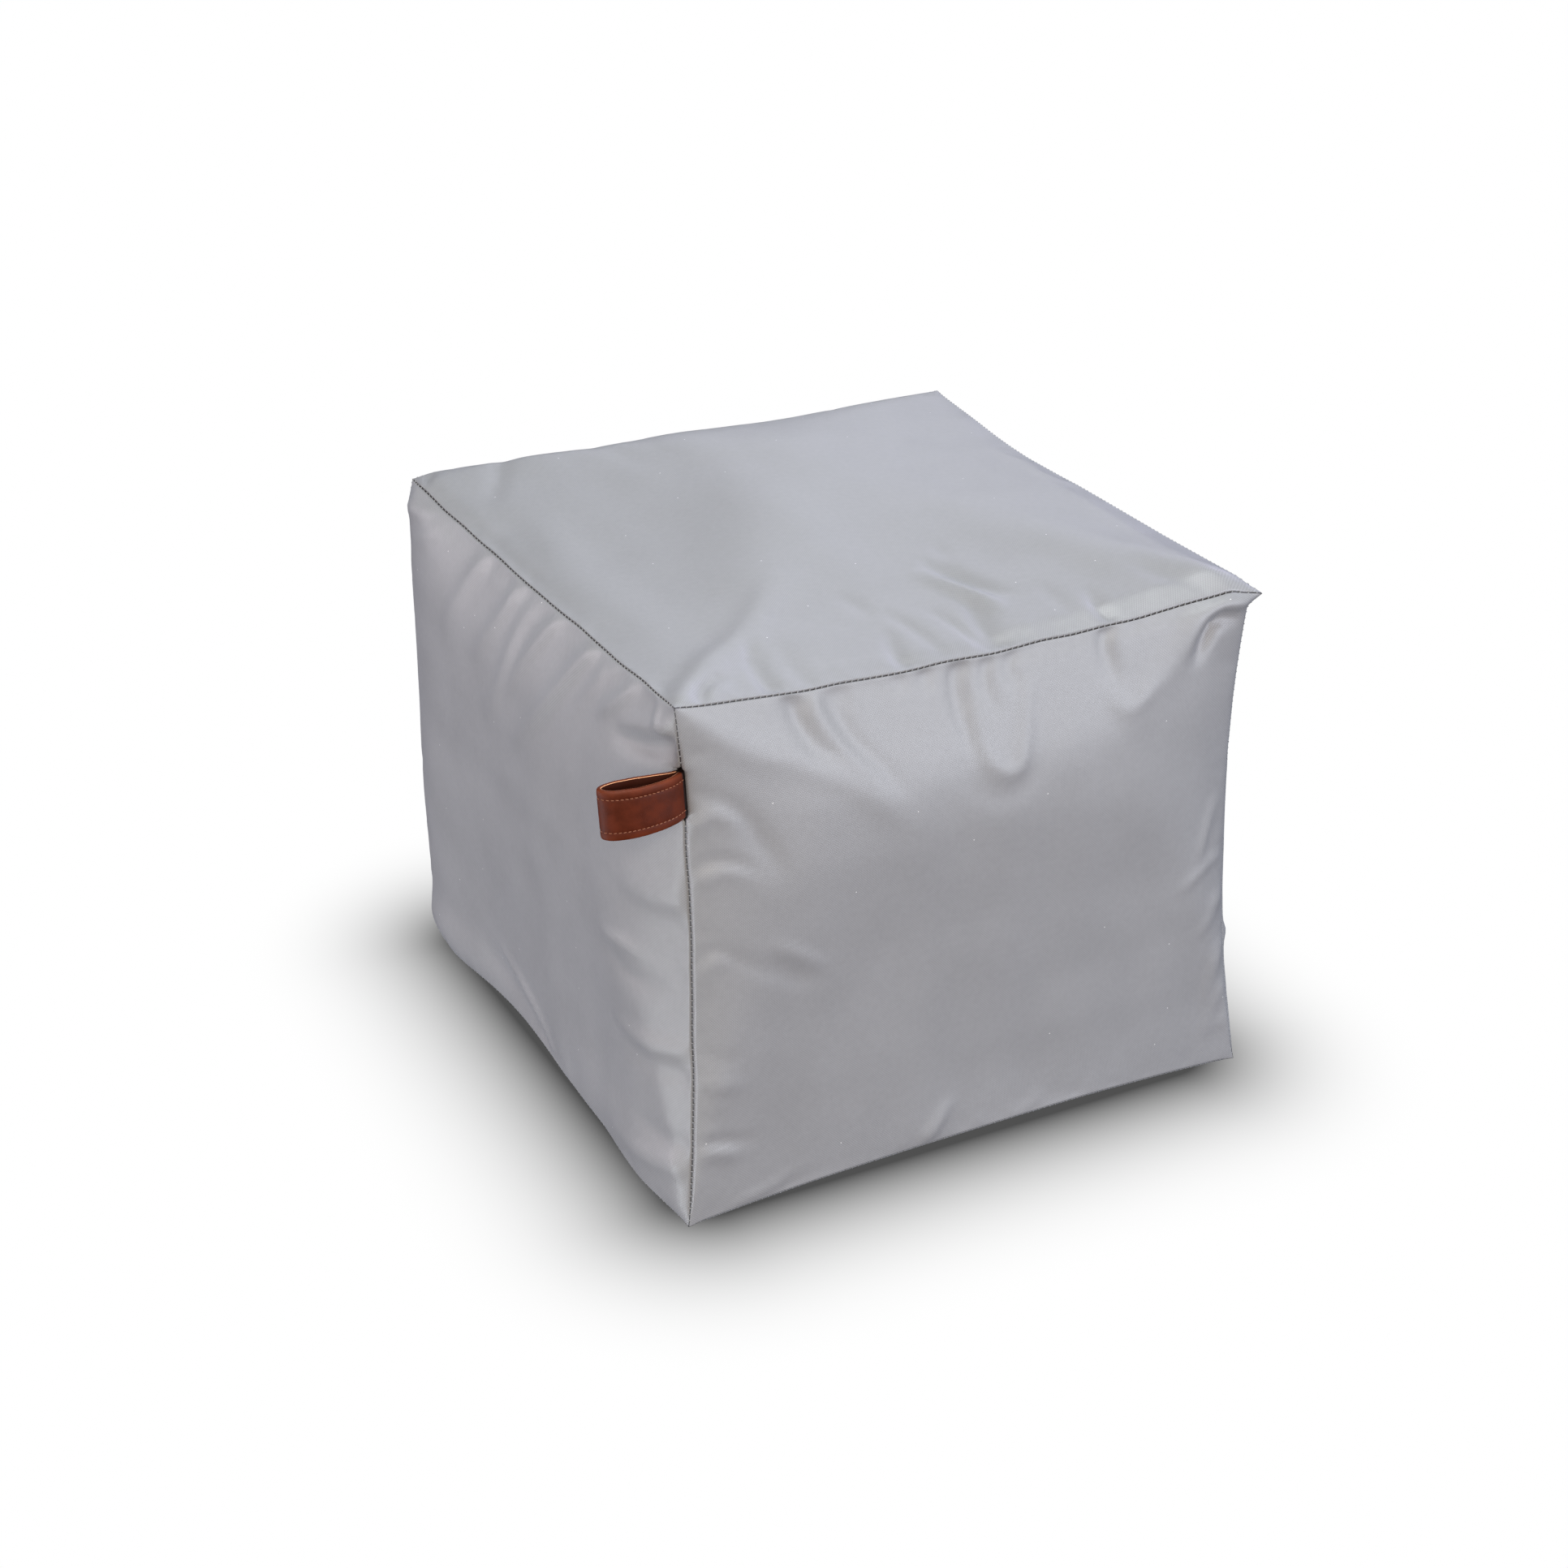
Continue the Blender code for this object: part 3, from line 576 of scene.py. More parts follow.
def panel_surface(name):
    """The panel's grid of points, each one's place on the flat panel and its distance to a seam, in mm.

    The distance counts for more where the seam is less open.
    """
    panel = PANELS[name]
    columns, rows = grid_lines(panel.right), grid_lines(panel.up)
    across, upward = sign_of(panel.right) * columns, sign_of(panel.up) * rows
    low = seam_points(name, panel_facing(opposite(panel.up)), across)
    high = seam_points(name, panel_facing(panel.up), across)
    left = seam_points(name, panel_facing(opposite(panel.right)), upward)
    right = seam_points(name, panel_facing(panel.right), upward)
    u = ((columns + 1) / 2)[:, None, None]
    v = ((rows + 1) / 2)[None, :, None]
    blend = (1 - v) * low[:, None] + v * high[:, None] + (1 - u) * left[None] + u * right[None]
    ears = (1 - u) * (1 - v) * low[0] + u * (1 - v) * low[-1] + (1 - u) * v * high[0] + u * v * high[-1]
    points = blend - ears
    outward = vector_of(panel.normal)
    points = points + swell(panel, columns, rows)[..., None] * MM * outward

    x_mm = (u[..., 0] + 0 * v[..., 0]) * SIZE[panel.right[1]] / MM
    y_mm = (v[..., 0] + 0 * u[..., 0]) * SIZE[panel.up[1]] / MM
    edges = (
        (x_mm, y_mm, opposite(panel.right)),
        (x_mm.max() - x_mm, y_mm, panel.right),
        (y_mm, x_mm, opposite(panel.up)),
        (y_mm.max() - y_mm, x_mm, panel.up),
    )
    fade = np.ones_like(x_mm)
    groove = np.zeros_like(points)
    parted = np.zeros_like(points)
    seam_mm = np.full_like(x_mm, np.inf)
    for distance, run, direction in edges:
        if {name, panel_facing(direction)} == set(SLOT_PART_MM):
            aside = SLOT_PART_MM[name] * slot_opening(run) * np.exp(-((distance / SLOT_FADE_MM) ** 2))
            parted -= aside[..., None] * vector_of(direction) * MM
        fade = fade * (1 - np.exp(-((distance / SEAM_FADE_MM) ** 2)))
        from_ear = np.minimum(run, run.max() - run)
        gap = seam_gap(name, panel_facing(direction))
        off_ear = 1 - np.exp(-((from_ear / EAR_FADE_MM) ** 2))
        depth = gap * np.exp(-((distance / GROOVE_WIDTH_MM) ** 2)) * off_ear
        groove -= depth[..., None] * (outward + vector_of(direction)) / math.sqrt(2)
        seam_mm = np.minimum(seam_mm, distance / gap)
    raised = (relief(name, x_mm, y_mm) + lumps(points)) * fade * MM
    points = points + raised[..., None] * surface_normals(points, outward) + groove * GROOVE_DEPTH + parted
    points[..., 2] = np.maximum(points[..., 2], 0)
    return points, np.stack([x_mm, y_mm], axis=-1), seam_mm


def in_scene(name, data):
    made = bpy.data.objects.new(name, data)
    bpy.context.scene.collection.objects.link(made)
    return made


def mesh_object(name, shape, material):
    """Turns a bmesh into an object of one material."""
    mesh = bpy.data.meshes.new(name)
    shape.to_mesh(mesh)
    shape.free()
    mesh.materials.append(material)
    return in_scene(name, mesh)


def piece(name, shape, material):
    """A smooth-shaded object that moves with the pouf."""
    bmesh.ops.recalc_face_normals(shape, faces=shape.faces)
    made = mesh_object(name, shape, material)
    made.data.shade_smooth()
    made.data.set_sharp_from_angle(angle=SHARP_ANGLE)
    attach(made, "root")
    return made


def add_pocket(shape):
    """Carries the parted lips inwards round the root of the loop, and closes them there."""
    rim = [edge for edge in shape.edges if edge.is_boundary]
    grown = bmesh.ops.extrude_edge_only(shape, edges=rim)["geom"]
    inner = [part for part in grown if isinstance(part, bmesh.types.BMVert)]
    inwards = place_on_seam((-ROOT_LENGTH, -ROOT_SLANT), 0) - place_on_seam((0, 0), 0)
    bmesh.ops.translate(shape, verts=inner, vec=inwards.normalized() * SLOT_DEPTH)
    bmesh.ops.holes_fill(shape, edges=[edge for edge in shape.edges if edge.is_boundary], sides=0)


def cover(cloth, surfaces):
    """The six panels, sewn edge to edge. In the UV map they lie flat, side by side, in mm."""
    shape = bmesh.new()
    cut = shape.loops.layers.uv.new("cut_mm")
    to_seam = shape.verts.layers.float.new("seam_mm")
    for index, (points, flat, seam_mm) in enumerate(surfaces.values()):
        count_x, count_y = seam_mm.shape
        corners = [[shape.verts.new(points[i, j]) for j in range(count_y)] for i in range(count_x)]
        for i in range(count_x):
            for j in range(count_y):
                corners[i][j][to_seam] = seam_mm[i, j]
        for i in range(count_x - 1):
            for j in range(count_y - 1):
                square = ((i, j), (i + 1, j), (i + 1, j + 1), (i, j + 1))
                face = shape.faces.new([corners[a][b] for a, b in square])
                for loop, (a, b) in zip(face.loops, square):
                    loop[cut].uv = flat[a, b] + (index * PANEL_SHIFT_MM, 0)
    bmesh.ops.remove_doubles(shape, verts=shape.verts, dist=WELD)
    add_pocket(shape)
    return piece("pouf_cover", shape, cloth)


# ---------- thread


def add_stitch(shape, points, radius):
    """A short piece of thread through these points, thinner at its two ends."""
    points = np.array(points)
    runs = np.gradient(points, axis=0)
    runs /= np.linalg.norm(runs, axis=1, keepdims=True)
    side = np.cross(runs[0], np.eye(3)[np.argmin(np.abs(runs[0]))])
    rings = []
    for i, (point, run) in enumerate(zip(points, runs)):
        side = side - run * side.dot(run)
        side /= np.linalg.norm(side)
        third = np.cross(run, side)
        thickness = radius * (THREAD_TAPER if i in (0, len(points) - 1) else 1)
        turns = [2 * math.pi * k / THREAD_SIDES for k in range(THREAD_SIDES)]
        corners = [point + thickness * (math.cos(turn) * side + math.sin(turn) * third) for turn in turns]
        rings.append([shape.verts.new(corner) for corner in corners])
    for ring, following in zip(rings, rings[1:]):
        for k in range(THREAD_SIDES):
            j = (k + 1) % THREAD_SIDES
            shape.faces.new((ring[k], ring[j], following[j], following[k]))
    shape.faces.new(rings[0][::-1])
    shape.faces.new(rings[-1])


def lip_line(surfaces, name, neighbour):
    """The line on a panel that its stitches come out of along one seam, ordered along the seam's axis."""
    panel, points, towards = PANELS[name], surfaces[name][0], PANELS[neighbour].normal
    if towards[1] == panel.right[1]:
        line = points[-1 - SEAM_STITCH_LIP] if towards == panel.right else points[SEAM_STITCH_LIP]
        along = panel.up
    else:
        line = points[:, -1 - SEAM_STITCH_LIP] if towards == panel.up else points[:, SEAM_STITCH_LIP]
        along = panel.right
    return line if sign_of(along) > 0 else line[::-1]


def point_along(line, travelled_mm, place_mm):
    return np.array([np.interp(place_mm, travelled_mm, column) for column in line.T])


def seam_thread(thread, surfaces):
    """The stitches that hold each seam, where they show between its lips."""
    shape = bmesh.new()
    for name_a, name_b in SEAMS:
        line_a, line_b = lip_line(surfaces, name_a, name_b), lip_line(surfaces, name_b, name_a)
        run = seam_axis((name_a, name_b))
        travelled = (grid_lines("+" + run) + 1) / 2 * SIZE[run] / MM
        outwards = facing((name_a, name_b)) / math.sqrt(2)
        for place in np.arange(SEAM_STITCH_PITCH_MM, travelled[-1] - SEAM_END_MM, SEAM_STITCH_PITCH_MM):
            if {name_a, name_b} == set(SLOT_PART_MM) and slot_opening(place) > 0:
                continue
            start = point_along(line_a, travelled, place - SEAM_STITCH_SLANT_MM)
            end = point_along(line_b, travelled, place + SEAM_STITCH_SLANT_MM)
            arch = outwards * SEAM_STITCH_ARCH
            points = [start + (end - start) * s + arch * lift for s, lift in SEAM_STITCH_PATH]
            for point in points:
                point[2] = max(point[2], SEAM_STITCH_RADIUS)
            add_stitch(shape, points, SEAM_STITCH_RADIUS)
    return piece("seam_thread", shape, thread)


# ---------- loop


def loop_root():
    """Where the middle of the loop's root crosses the upright seam."""
    t = np.array([2 * LOOP_HEIGHT / HEIGHT - 1])
    return seam_points("left", "front", t)[0]


def strip_route():
    """The strip's middle seen from above, out from the seam and forward: out of the seam, round, and back."""
    grip = (STRIP_THICKNESS + LAYER_GAP) / 2
    axis = np.array([ROOT_LENGTH, ROOT_SLANT])
    aside = np.array([-axis[1], axis[0]]) / np.linalg.norm(axis) * grip
    root = [-axis * share - np.array([0, ROOT_TUCK]) for share in (1, 0.75, 0.5, 0.25)]
    route = [point + aside for point in root]
    for turn in np.linspace(0, 2 * math.pi, LOOP_STEPS + 1):
        out = LOOP_REACH * (1 - math.cos(turn)) / 2
        swell = LOOP_HALF_SWELL * math.sin(turn) * math.sin(turn / 2) ** LOOP_POINT
        held = grip * math.cos(turn / 2) - ROOT_TUCK * math.exp(-((out / ROOT_TUCK_REACH) ** 1.5))
        route.append(np.array([out, swell + held - LOOP_SWING * (out / LOOP_REACH) ** 2]))
    return np.array(route + [point - aside for point in root[::-1]])


def held_length_mm():
    """How much of each end of the strip the seam holds."""
    return math.hypot(ROOT_LENGTH, ROOT_SLANT) / MM


def route_frame(route):
    """How far along the strip each point of the route is, in mm, and which way is out of the loop there."""
    steps = np.linalg.norm(np.diff(route, axis=0), axis=1)
    travelled_mm = np.concatenate([[0], np.cumsum(steps)]) / MM
    runs = np.gradient(route, axis=0)
    runs /= np.linalg.norm(runs, axis=1, keepdims=True)
    return travelled_mm, np.stack([-runs[:, 1], runs[:, 0]], axis=1)


def strip_spread(out):
    """How wide the strip is at this distance from the seam, 1 for its nominal width."""
    return np.interp(out, (0, LOOP_REACH), STRIP_SPREAD)


def strip_section():
    """The whole section: the tabled half and its mirror image below."""
    below = [rim._replace(height_mm=-rim.height_mm) for rim in STRIP_SECTION[-2:0:-1]]
    return STRIP_SECTION + below


def loop_strip():
    """The leather strip, folded into a loop, and its length. Its UV map holds the place on it, in mm."""
    shape = bmesh.new()
    cut = shape.loops.layers.uv.new("cut_mm")
    raw_layer = shape.verts.layers.float.new("raw")
    flesh_layer = shape.verts.layers.float.new("flesh")
    route = strip_route()
    travelled_mm, outset = route_frame(route)
    section = strip_section()
    rings = []
    for point, away, along in zip(route, outset, travelled_mm):
        ring = []
        for rim in section:
            row = math.copysign(4, rim.height_mm)
            ragged = noise.noise(Vector((along / STRIP_RAGGED_WAVE_MM, row, 0))) * STRIP_RAGGED_MM
            to_edge = rim.height_mm * MM / (STRIP_WIDTH / 2)
            height = rim.height_mm * strip_spread(point[0]) + ragged * to_edge**2
            outset_point = point + away * rim.outset * STRIP_THICKNESS / 2
            corner = shape.verts.new(place_on_seam(outset_point, height * MM))
            corner[raw_layer] = rim.raw
            corner[flesh_layer] = rim.flesh
            ring.append(corner)
        rings.append(ring)
    count = len(section)
    for i in range(len(rings) - 1):
        for k in range(count):
            j = (k + 1) % count
            face = shape.faces.new((rings[i][k], rings[i][j], rings[i + 1][j], rings[i + 1][k]))
            places = ((i, k), (i, j), (i + 1, j), (i + 1, k))
            for loop, (a, b) in zip(face.loops, places):
                loop[cut].uv = (travelled_mm[a], section[b].height_mm)
    shape.faces.new(rings[0])
    shape.faces.new(rings[-1])
    return piece("loop_strip", shape, brown_leather(travelled_mm[-1])), travelled_mm[-1] * MM


def loop_thread(thread):
    """The two rows of stitches that run along the strip's outer face."""
    shape = bmesh.new()
    route = strip_route()
    travelled_mm, outset = route_frame(route)
    hidden = held_length_mm()
    half = LOOP_STITCH_LENGTH_MM / 2
    face = STRIP_THICKNESS / 2 / MM
    for side in (1, -1):
        for middle in np.arange(hidden + 1, travelled_mm[-1] - hidden, LOOP_STITCH_PITCH_MM):
            points = []
            for step, sunk_mm in LOOP_STITCH_PATH:
                along = middle + step * half
                point = point_along(route, travelled_mm, along)
                away = point_along(outset, travelled_mm, along)
                height = side * (LOOP_ROW_MM * strip_spread(point[0]) + LOOP_STITCH_SLANT_MM * step) * MM
                points.append(place_on_seam(point + away * (face - sunk_mm) * MM, height))
            add_stitch(shape, points, LOOP_STITCH_RADIUS)
    return piece("loop_thread", shape, thread)


def place_on_seam(outline_point, height):
    """From the loop's own frame to the part's: out along -X and forward along -Y, drooping."""
    out, forward = outline_point
    root = loop_root()
    x = root[0] - out * math.cos(LOOP_DROOP) - height * math.sin(LOOP_DROOP)
    z = root[2] - out * math.sin(LOOP_DROOP) + height * math.cos(LOOP_DROOP)
    return Vector((x, root[1] - forward, z))


# ---------- materials


class Nodes:
    """Short names for making and linking a material's nodes."""

    def __init__(self, name):
        self.material = bpy.data.materials.new(name)
        self.material.use_nodes = True
        self.tree = self.material.node_tree
        self.shader = self.tree.nodes["Principled BSDF"]

    def node(self, kind, **settings):
        made = self.tree.nodes.new("ShaderNode" + kind)
        for setting, value in settings.items():
            setattr(made, setting, value)
        return made

    def put(self, socket, value):
        if isinstance(value, bpy.types.NodeSocket):
            self.tree.links.new(value, socket)
        else:
            socket.default_value = value

    def fed(self, kind, values, **settings):
        """A node whose first sockets take these values."""
        made = self.node(kind, **settings)
        for socket, value in zip(made.inputs, values):
            self.put(socket, value)
        return made

    def math(self, operation, *values):
        return self.fed("Math", values, operation=operation).outputs[0]

    def vector(self, operation, *values):
        made = self.fed("VectorMath", values, operation=operation)
        return made.outputs["Value" if operation == "LENGTH" else "Vector"]

    def mix(self, factor, low, high):
        made = self.node("Mix", data_type="RGBA")
        self.put(made.inputs["Factor"], factor)
        self.put(made.inputs["A"], low)
        self.put(made.inputs["B"], high)
        return made.outputs["Result"]

    def spread(self, value, low, high, to_low, to_high):
        values = (value, low, high, to_low, to_high)
        return self.fed("MapRange", values, interpolation_type="SMOOTHSTEP").outputs[0]

    def noise(self, vector, scale, detail=2.0):
        made = self.fed("TexNoise", (vector,))
        made.inputs["Scale"].default_value = scale
        made.inputs["Detail"].default_value = detail
        return made.outputs["Fac"]

    def bump(self, height, strength, distance, normal=None):
        made = self.node("Bump")
        made.inputs["Strength"].default_value = strength
        made.inputs["Distance"].default_value = distance
        self.put(made.inputs["Height"], height)
        if normal is not None:
            self.put(made.inputs["Normal"], normal)
        return made.outputs["Normal"]

    def set(self, **values):
        for name, value in values.items():
            self.put(self.shader.inputs[name.replace("_", " ")], value)


THREAD_PITCH_MM = 0.83
THREAD_DRIFT_MM = 1.6
# The cloth's one grey, painted lighter on the warp floats and darker on the weft floats: the weave's pattern,
# shown by a painted sheen
CLOTH_WARP_SHEEN = (0.405, 0.405, 0.42, 1)
CLOTH_WEFT_SHADE = (0.29, 0.29, 0.305, 1)
# Painted shade, near black, deep in the seam grooves
CLOTH_SEAM_SHADE = (0.035, 0.03, 0.03, 1)
# Specks of lint: one cell in three has one
LINT = (0.8, 0.8, 0.8, 1)
LINT_CELL_MM = 48
LINT_MM = 0.42
LINT_SHARE = 0.35


def woven_cloth():
    """Light grey plain-woven polyester: threads both ways, over and under, with a soft sheen."""
    n = Nodes("woven_cloth")
    flat = n.node("UVMap", uv_map="cut_mm").outputs["UV"]
    split = n.fed("SeparateXYZ", (flat,))
    place = n.node("TexCoord").outputs["Object"]
    drift = n.math("MULTIPLY", n.noise(place, 40), THREAD_DRIFT_MM)
    step = math.pi / THREAD_PITCH_MM
    warp = n.math("COSINE", n.math("MULTIPLY", n.math("ADD", split.outputs["X"], drift), step))
    weft = n.math("COSINE", n.math("MULTIPLY", n.math("ADD", split.outputs["Y"], drift), step))
    over = n.math("MULTIPLY_ADD", n.math("MULTIPLY", warp, weft), 0.5, 0.5)
    warp_round, weft_round = n.math("ABSOLUTE", warp), n.math("ABSOLUTE", weft)
    warp_height = n.math("MULTIPLY", warp_round, over)
    weft_height = n.math("MULTIPLY", weft_round, n.math("SUBTRACT", 1, over))
    height = n.math("ADD", warp_height, weft_height)

    slub = n.noise(place, 260, 3)
    mottle = n.noise(place, 22, 3)
    # Painted sheen: the warp floats are lighter than the weft floats
    colour = n.mix(over, CLOTH_WEFT_SHADE, CLOTH_WARP_SHEEN)
    shade = n.math("MULTIPLY_ADD", n.math("ADD", slub, mottle), 0.12, 0.88)
    shaded = n.node("VectorMath", operation="SCALE")
    n.put(shaded.inputs[0], colour)
    n.put(shaded.inputs["Scale"], shade)
    # Painted shade: the cloth turns near black in the seam grooves, over a wider band where a seam is more
    # open
    seam = n.node("Attribute", attribute_name="seam_mm").outputs["Fac"]
    seam_shade = n.spread(seam, 0.1, 0.75, 0, 1)

    cells = n.fed("TexVoronoi", (flat,), voronoi_dimensions="2D")
    cells.inputs["Scale"].default_value = 1 / LINT_CELL_MM
    drawn = n.fed("SeparateColor", (cells.outputs["Color"],))
    chosen = n.math("LESS_THAN", drawn.outputs[0], LINT_SHARE)
    speck = n.math("LESS_THAN", cells.outputs["Distance"], LINT_MM / LINT_CELL_MM)
    linted = n.mix(n.math("MULTIPLY", chosen, speck), shaded.outputs[0], LINT)
    n.set(
        Base_Color=n.mix(seam_shade, CLOTH_SEAM_SHADE, linted),
        Roughness=n.spread(mottle, 0.3, 0.7, 0.38, 0.44),
        Normal=n.bump(height, 0.3, 0.00025),
    )
    n.set(Sheen_Weight=0.1, Sheen_Roughness=0.4, Sheen_Tint=(0.8, 0.86, 1.0, 1), Specular_IOR_Level=0.5)
    return n.material


LEATHER_FACE = (0.120, 0.019, 0.0045, 1)
LEATHER_DARK = (0.080, 0.013, 0.0035, 1)
LEATHER_RUBBED = (0.21, 0.042, 0.012, 1)
LEATHER_RAW = (0.85, 0.42, 0.22, 1)
LEATHER_FLESH = (0.055, 0.012, 0.006, 1)
# Painted shade where the seam holds the strip's ends
LEATHER_SEAM_SHADE = (0.012, 0.006, 0.005, 1)
STITCH_HOLE_MM = 0.42
PORES = 1300  # in a metre


def brown_leather(length_mm):
    """Smooth brown leather: darker pores, rubbed lighter at its edges, with a pale cut edge.

    Shade is painted on it, almost black, where the seam holds the two ends of the strip, which is this long.
    """
    n = Nodes("brown_leather")
    place = n.node("TexCoord").outputs["Object"]
    split = n.fed("SeparateXYZ", (n.node("UVMap", uv_map="cut_mm").outputs["UV"],))
    raw = n.node("Attribute", attribute_name="raw").outputs["Fac"]
    flesh = n.node("Attribute", attribute_name="flesh").outputs["Fac"]
    cloudy = n.noise(place, 120, 4)
    pores = n.fed("TexVoronoi", (place,), feature="DISTANCE_TO_EDGE")
    pores.inputs["Scale"].default_value = PORES
    grain = n.math("MINIMUM", n.math("MULTIPLY", pores.outputs["Distance"], 4), 1)

    # Stitch holes along both rows, dented by the bump and darkened with painted shade
    from_row = n.math("SUBTRACT", n.math("ABSOLUTE", split.outputs["Y"]), LOOP_ROW_MM)
    pitch = n.math("MODULO", split.outputs["X"], LOOP_STITCH_PITCH_MM)
    from_hole = n.math("SUBTRACT", pitch, LOOP_STITCH_PITCH_MM / 2)
    hole_mm = n.math("SQRT", n.math("ADD", n.math("POWER", from_row, 2), n.math("POWER", from_hole, 2)))
    hole = n.spread(hole_mm, STITCH_HOLE_MM * 0.5, STITCH_HOLE_MM, 0, 1)

    face = n.mix(n.spread(cloudy, 0.3, 0.7, 0, 1), LEATHER_DARK, LEATHER_FACE)
    rubbed_edge = n.spread(n.math("ABSOLUTE", split.outputs["Y"]), 10.5, 15, 0, 0.75)
    worn = n.mix(n.math("MULTIPLY", rubbed_edge, cloudy), face, LEATHER_RUBBED)
    inside = n.mix(flesh, worn, LEATHER_FLESH)
    edged = n.mix(n.spread(raw, 0.05, 0.5, 0, 0.7), inside, LEATHER_RUBBED)
    pale = n.mix(n.spread(raw, 0.6, 1, 0, 1), edged, LEATHER_RAW)
    hole_shaded = n.mix(hole, LEATHER_DARK, pale)
    # Painted shade: almost black where the seam holds the strip's ends
    from_end = n.math("MINIMUM", split.outputs["X"], n.math("SUBTRACT", length_mm, split.outputs["X"]))
    clear_of_seam_shade = n.spread(from_end, held_length_mm() + 0.4, held_length_mm() + 2.0, 0, 1)
    n.set(
        Base_Color=n.mix(clear_of_seam_shade, LEATHER_SEAM_SHADE, hole_shaded),
        Roughness=n.spread(cloudy, 0.3, 0.7, 0.5, 0.62),
        Normal=n.bump(hole, 0.6, 0.0003, n.bump(grain, 0.25, 0.00012)),
        Specular_IOR_Level=0.25,
    )
    return n.material


SEAM_THREAD = (0.38, 0.38, 0.39, 1)
LOOP_THREAD = (0.36, 0.13, 0.065, 1)


def thread_material(name, colour, roughness):
    """Spun thread: its strands show as a fine uneven grain."""
    n = Nodes(name)
    place = n.node("TexCoord").outputs["Object"]
    strands = n.noise(place, 2600, 2)
    dark = tuple(channel * 0.6 for channel in colour[:3]) + (1,)
    n.set(Base_Color=n.mix(strands, dark, colour), Normal=n.bump(strands, 0.4, 0.0001), Roughness=roughness)
    return n.material


# ---------- stage

# Softboxes all round. Azimuth 0 is in front of the pouf and 90 on its right
Light = namedtuple("Light", "azimuth elevation watts colour")
LIGHTS = {
    "overhead": Light(0, 80, 71, (0.90, 0.97, 1)),
    "front_left": Light(-30, 25, 51, (1, 0.90, 0.79)),
    "front_right": Light(30, 5, 51, (0.82, 0.87, 1)),
    "left_from_the_floor": Light(-90, -25, 41, (0.84, 0.92, 1)),
    "back_left": Light(-120, 5, 28.5, (1, 0.91, 1)),
    "right": Light(120, 25, 18, (0.75, 0.71, 1)),
    "back_right": Light(150, 25, 13, (0.90, 0.90, 1)),
}
SOFTBOX_SIZE = 1.3
SOFTBOX_DISTANCE = 3.0
LIGHTS_AIM = (0, 0, 0.17)

STAGE_RADIUS = 12
FLOOR_GAP = 0.0002
# The soft shadow painted on the floor round the pouf, measured from a rounded footprint
SHADE_MIDDLE = (-0.005, 0, 0)
SHADE_ROUNDING = 0.03
SHADE_HALF = (0.195 - SHADE_ROUNDING, 0.204 - SHADE_ROUNDING, 1)
SHADE_REACH = 0.16
SHADE_FALL = 2.6
SHADE_DEPTH = 0.92

# The photo's camera. Its azimuth, elevation and roll are in degrees
PHOTO_PIXELS = 1932
FOCAL_PIXELS = 3369
SENSOR_MM = 36
CAMERA_AZIMUTH = -27.21
CAMERA_ELEVATION = 26.74
CAMERA_ROLL = -0.24
CAMERA_DISTANCE = 1.8045
CAMERA_AIM = (0, 0, 0.2)
CAMERA_SLIDE = (-0.0237, -0.0354)


def bearing(azimuth, elevation):
    """The direction from the pouf at these angles, in degrees."""
    a, e = math.radians(azimuth), math.radians(elevation)
    return Vector((math.sin(a) * math.cos(e), -math.cos(a) * math.cos(e), math.sin(e)))


def camera():
    back = bearing(CAMERA_AZIMUTH, CAMERA_ELEVATION)
    right = bearing(CAMERA_AZIMUTH + 90, 0)
    up = back.cross(right)
    data = bpy.data.cameras.new("camera")
    data.lens = FOCAL_PIXELS / PHOTO_PIXELS * SENSOR_MM
    data.sensor_width = SENSOR_MM
    made = in_scene("camera", data)
    turn = Matrix((right, up, back)).transposed() @ Matrix.Rotation(math.radians(CAMERA_ROLL), 3, "Z")
    made.rotation_euler = turn.to_euler()
    aside = right * CAMERA_SLIDE[0] + up * CAMERA_SLIDE[1]
    made.location = Vector(CAMERA_AIM) + aside + back * CAMERA_DISTANCE
    bpy.context.scene.camera = made


def softbox(name, light):
    """A square area light that looks at the pouf."""
    out = bearing(light.azimuth, light.elevation)
    data = bpy.data.lights.new(name, "AREA")
    data.shape = "SQUARE"
    data.size = SOFTBOX_SIZE
    data.energy = light.watts
    data.color = light.colour
    made = in_scene(name, data)
    made.location = Vector(LIGHTS_AIM) + out * SOFTBOX_DISTANCE
    made.rotation_euler = out.to_track_quat("Z", "Y").to_euler()


def backdrop_material(name, glow):
    """Pure white that shines by itself, as strongly as glow says, whatever lights the pouf: even on the dome,
    with a painted shadow on the floor.
    """
    n = Nodes(name)
    n.set(Base_Color=(0, 0, 0, 1), Specular_IOR_Level=0.0, Emission_Color=(1, 1, 1, 1))
    n.set(Emission_Strength=glow(n))
    n.material.cycles.emission_sampling = "NONE"
    return n.material


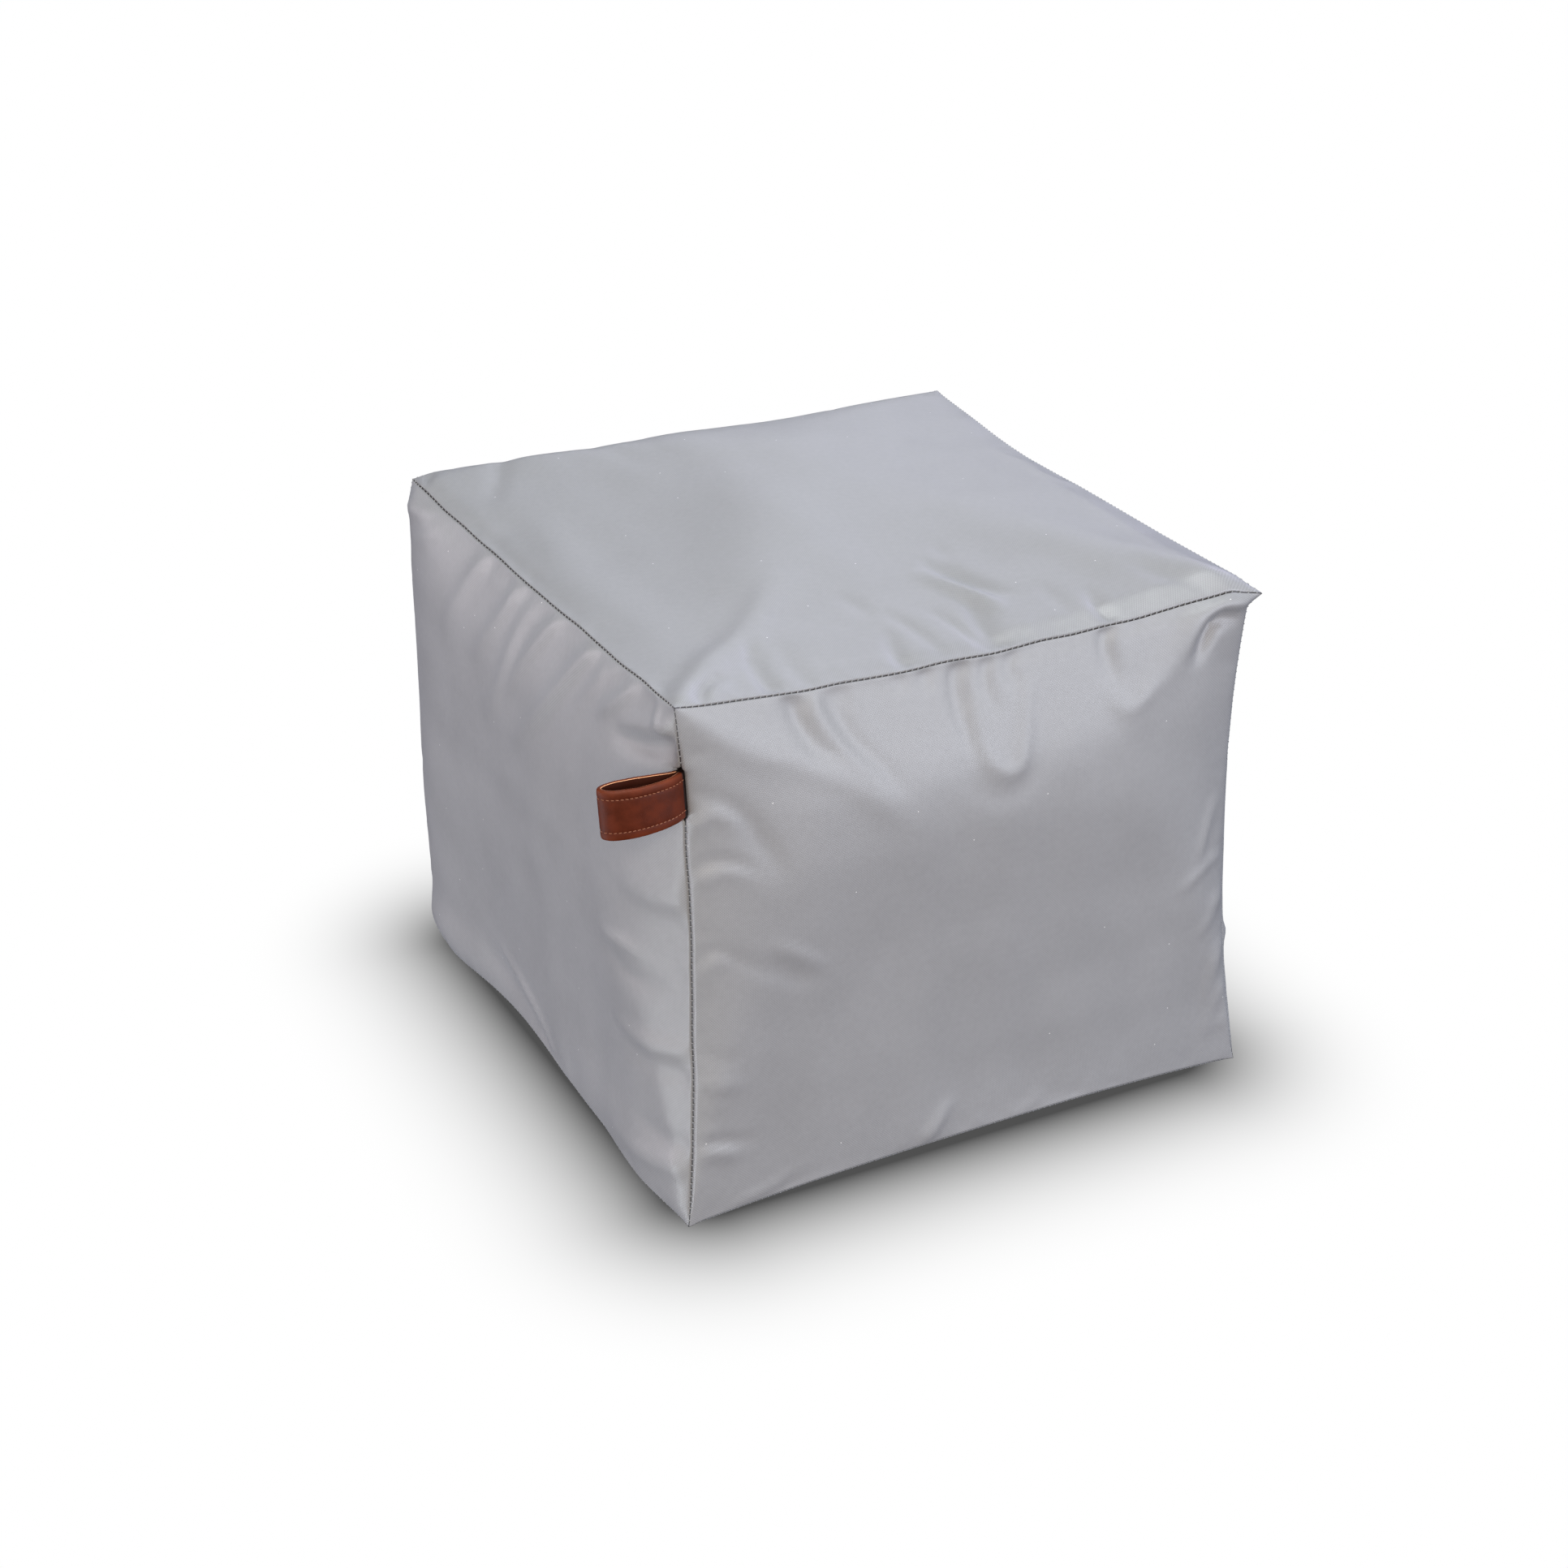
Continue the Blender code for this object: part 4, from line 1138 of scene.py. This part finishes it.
def painted_contact_shadow(n):
    """A painted shadow: white in the open, down to dark grey at the pouf's footprint."""
    centred = n.vector("SUBTRACT", n.node("NewGeometry").outputs["Position"], SHADE_MIDDLE)
    past = n.vector("SUBTRACT", n.vector("ABSOLUTE", centred), SHADE_HALF)
    outside = n.vector("MAXIMUM", past, (0, 0, 0))
    distance = n.math("SUBTRACT", n.vector("LENGTH", outside), SHADE_ROUNDING)
    near = n.math("SUBTRACT", 1, n.math("DIVIDE", distance, SHADE_REACH))
    clamped = n.math("MINIMUM", n.math("MAXIMUM", near, 0), 1)
    return n.math("SUBTRACT", 1, n.math("MULTIPLY", n.math("POWER", clamped, SHADE_FALL), SHADE_DEPTH))


def stage_object(name, shape, material):
    """An object of the stage, none of which is thrown back on the pouf."""
    made = mesh_object(name, shape, material)
    made.visible_diffuse = False
    made.visible_glossy = False
    made.visible_shadow = False
    return made


def floor():
    """A white floor with a painted shadow round the pouf, inside a white dome."""
    plane = bmesh.new()
    bmesh.ops.create_circle(plane, cap_ends=True, segments=64, radius=STAGE_RADIUS)
    ground = stage_object("floor", plane, backdrop_material("white_floor", painted_contact_shadow))
    ground.location.z = -FLOOR_GAP
    ball = bmesh.new()
    bmesh.ops.create_uvsphere(ball, u_segments=48, v_segments=24, radius=STAGE_RADIUS)
    stage_object("dome", ball, backdrop_material("white_dome", lambda n: 1.0))


def world():
    """A world that gives no light of its own."""
    made = bpy.data.worlds.new("studio")
    made.use_nodes = True
    made.node_tree.nodes["Background"].inputs["Strength"].default_value = 0
    bpy.context.scene.world = made


def build():
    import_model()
    surfaces = {name: panel_surface(name) for name in PANELS}
    pouf = cover(woven_cloth(), surfaces)
    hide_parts("pouf_body")
    stitches = seam_thread(thread_material("grey_thread", SEAM_THREAD, 0.6), surfaces)

    strip, length = loop_strip()
    row = loop_thread(thread_material("brown_thread", LOOP_THREAD, 0.55))
    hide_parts("loop_tab")

    camera()
    world()
    for name, light in LIGHTS.items():
        softbox(name, light)
    floor()
    bpy.context.scene.view_settings.view_transform = "Standard"


build()
